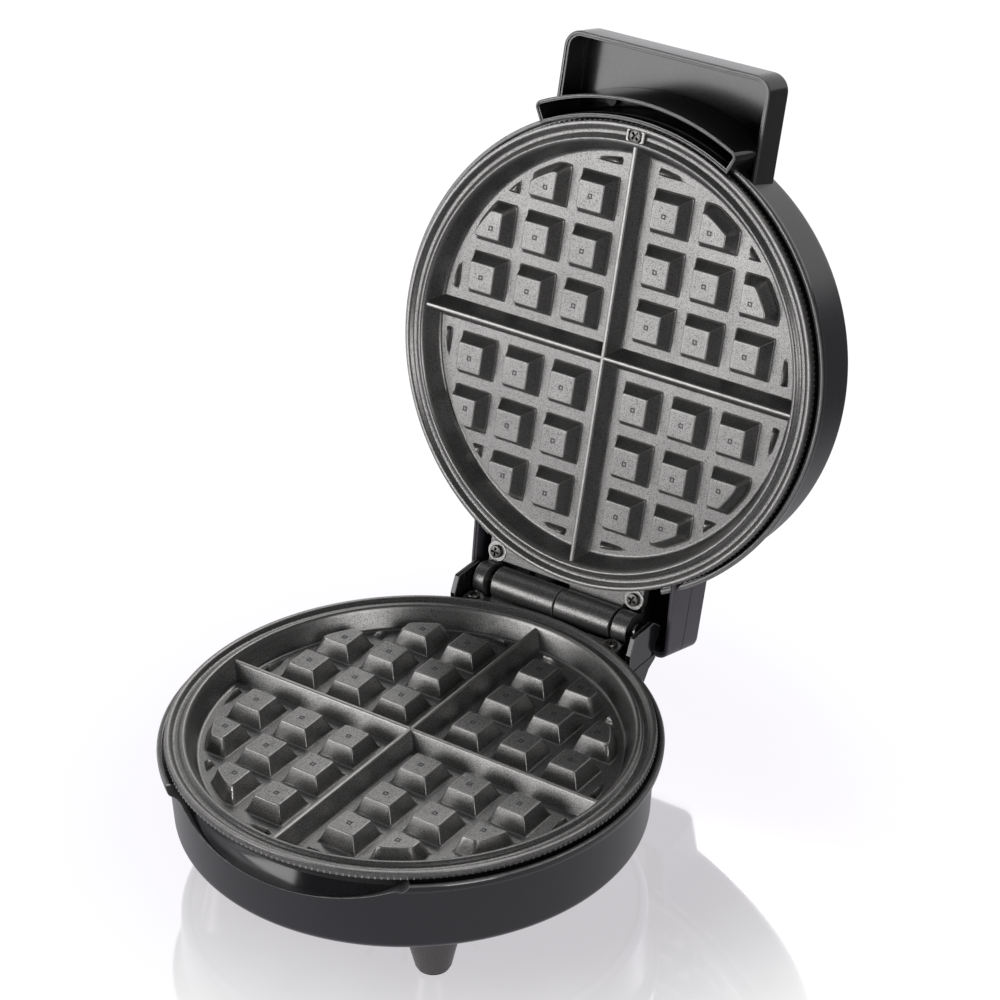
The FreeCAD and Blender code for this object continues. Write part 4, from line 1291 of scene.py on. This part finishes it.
def floor_finish():
    """To the camera white with a reflection near the feet, to the rest a soft glow."""
    made = bpy.data.materials.new("pale floor")
    made.use_nodes = True
    tree = made.node_tree
    shader = tree.nodes["Principled BSDF"]
    out = tree.nodes["Material Output"]
    where = node(tree, "ShaderNodeTexCoord")
    reach = node(tree, "ShaderNodeVectorMath", operation="LENGTH")
    cloud = node(tree, "ShaderNodeTexNoise", {"Scale": 30.0})
    uneven = node(tree, "ShaderNodeMath", {1: 0.012}, operation="MULTIPLY_ADD")
    near = ramp(tree, 0.12, 0.26, 1.0, 0.0)
    sheen = node(tree, "ShaderNodeBsdfGlossy",
                 {"Color": (0.92, 0.90, 0.96, 1), "Roughness": 0.06})
    glow = node(tree, "ShaderNodeEmission", {"Color": (0.985, 0.965, 1.0, 1), "Strength": 1.14})
    white = node(tree, "ShaderNodeEmission", {"Strength": 1.05})
    half = node(tree, "ShaderNodeMixShader", {0: 0.5})
    spot = node(tree, "ShaderNodeMixShader")
    seen = node(tree, "ShaderNodeMixShader")
    rays = node(tree, "ShaderNodeLightPath")
    link = linker(tree)
    link(where, "Object", reach, 0)
    link(where, "Object", cloud, "Vector")
    link(cloud, "Fac", uneven, 0)
    link(reach, "Value", uneven, 2)
    link(uneven, 0, near, "Value")
    link(glow, 0, half, 1)
    link(sheen, 0, half, 2)
    link(near, "Result", spot, 0)
    link(white, 0, spot, 1)
    link(half, 0, spot, 2)
    bounce = ramp(tree, 0.15, 0.5, 0.5, 0.02)
    behind = node(tree, "ShaderNodeVectorMath", {1: (-0.94, 0.34, 0.0)}, operation="DOT_PRODUCT")
    sweep = ramp(tree, 0.15, 0.5, 0.0, 1.0)
    both = node(tree, "ShaderNodeMath", operation="ADD")
    link(where, "Object", behind, 0)
    link(behind, "Value", sweep, "Value")
    link(reach, "Value", bounce, "Value")
    link(bounce, "Result", both, 0)
    link(sweep, "Result", both, 1)
    link(both, 0, shader, "Emission Strength")
    link(rays, "Is Camera Ray", seen, 0)
    link(shader, 0, seen, 1)
    link(spot, 0, seen, 2)
    link(seen, 0, out, "Surface")
    preset(shader, {"Base Color": (0.12, 0.118, 0.125, 1), "Roughness": 0.6,
                    "Emission Color": (0.97, 0.95, 1.0, 1)})
    return made


bpy.ops.mesh.primitive_plane_add(size=8.0, location=(0, 0, 0))
floor = bpy.context.object
floor.name = "floor"
floor.data.materials.append(floor_finish())


# %% [markdown]
# The surround is white where the camera sees it and behind the piece, so that
# the rims stand out. The two boxes in front light the forward faces.

# %% Surround
def surround():
    """White to the camera, bright behind the piece, dark elsewhere."""
    world = bpy.data.worlds.new("studio surround")
    bpy.context.scene.world = world
    world.use_nodes = True
    tree = world.node_tree
    tree.nodes.clear()
    out = node(tree, "ShaderNodeOutputWorld")
    rays = node(tree, "ShaderNodeLightPath")
    seen = node(tree, "ShaderNodeBackground", {"Color": (1, 1, 1, 1), "Strength": 1.05})
    room = node(tree, "ShaderNodeBackground")
    where = node(tree, "ShaderNodeTexCoord")
    behind = node(tree, "ShaderNodeVectorMath",
                  {1: (-0.571, 0.821, 0.0)}, operation="DOT_PRODUCT")
    level = ramp(tree, 0.1, 0.55, 0.06, 1.05)
    mix = node(tree, "ShaderNodeMixShader")
    link = linker(tree)
    link(where, "Generated", behind, 0)
    link(behind, "Value", level, "Value")
    link(level, "Result", room, "Strength")
    link(rays, "Is Camera Ray", mix, 0)
    link(room, 0, mix, 1)
    link(seen, 0, mix, 2)
    link(mix, 0, out, "Surface")


surround()
print("surround", bpy.context.scene.world.name)


# %% Lights
def soft_light(name, place, size, watts, aim=(0.0, 0.0, 0.12)):
    lamp = bpy.data.lights.new(name, "AREA")
    lamp.shape = "RECTANGLE"
    lamp.size, lamp.size_y = size
    lamp.energy = watts
    obj = bpy.data.objects.new(name, lamp)
    bpy.context.scene.collection.objects.link(obj)
    obj.location = place
    obj.rotation_euler = (Vector(aim) - Vector(place)).to_track_quat("-Z", "Y").to_euler()
    print(name, watts, "W")


soft_light("front left box", (-0.95, -1.6, 0.45), (1.1, 0.8), 15)
soft_light("front right box", (1.6, -1.0, 0.7), (0.7, 0.8), 11)
soft_light("high back box", (-0.3, 1.4, 1.5), (1.4, 0.6), 10)

# %% [markdown]
# ## Camera
# A long lens from the front right, about thirty degrees up, so that the open
# lid and the deep plate are both seen full.

# %% Camera
AZ, EL, ROLL = (math.radians(v) for v in (34.846, 30.288, -0.467))
TARGET, DISTANCE, LENS = Vector((0.034016, -0.035407, 0.177595)), 1.34085, 118.247
back = Vector((math.sin(AZ) * math.cos(EL), -math.cos(AZ) * math.cos(EL), math.sin(EL)))
right = (-back).cross(Vector((0, 0, 1))).normalized()
up = right.cross(-back)
right, up = (right * math.cos(ROLL) + up * math.sin(ROLL),
             up * math.cos(ROLL) - right * math.sin(ROLL))
camera_data = bpy.data.cameras.new("studio camera")
camera_data.lens = LENS
camera_data.sensor_width = 36.0
camera = bpy.data.objects.new("studio camera", camera_data)
bpy.context.scene.collection.objects.link(camera)
place = Matrix((right, up, back)).transposed().to_4x4()
place.translation = TARGET + back * DISTANCE
camera.matrix_world = place
bpy.context.scene.camera = camera
bpy.context.scene.view_settings.view_transform = "Standard"
print("camera at", tuple(round(c, 3) for c in camera.location))
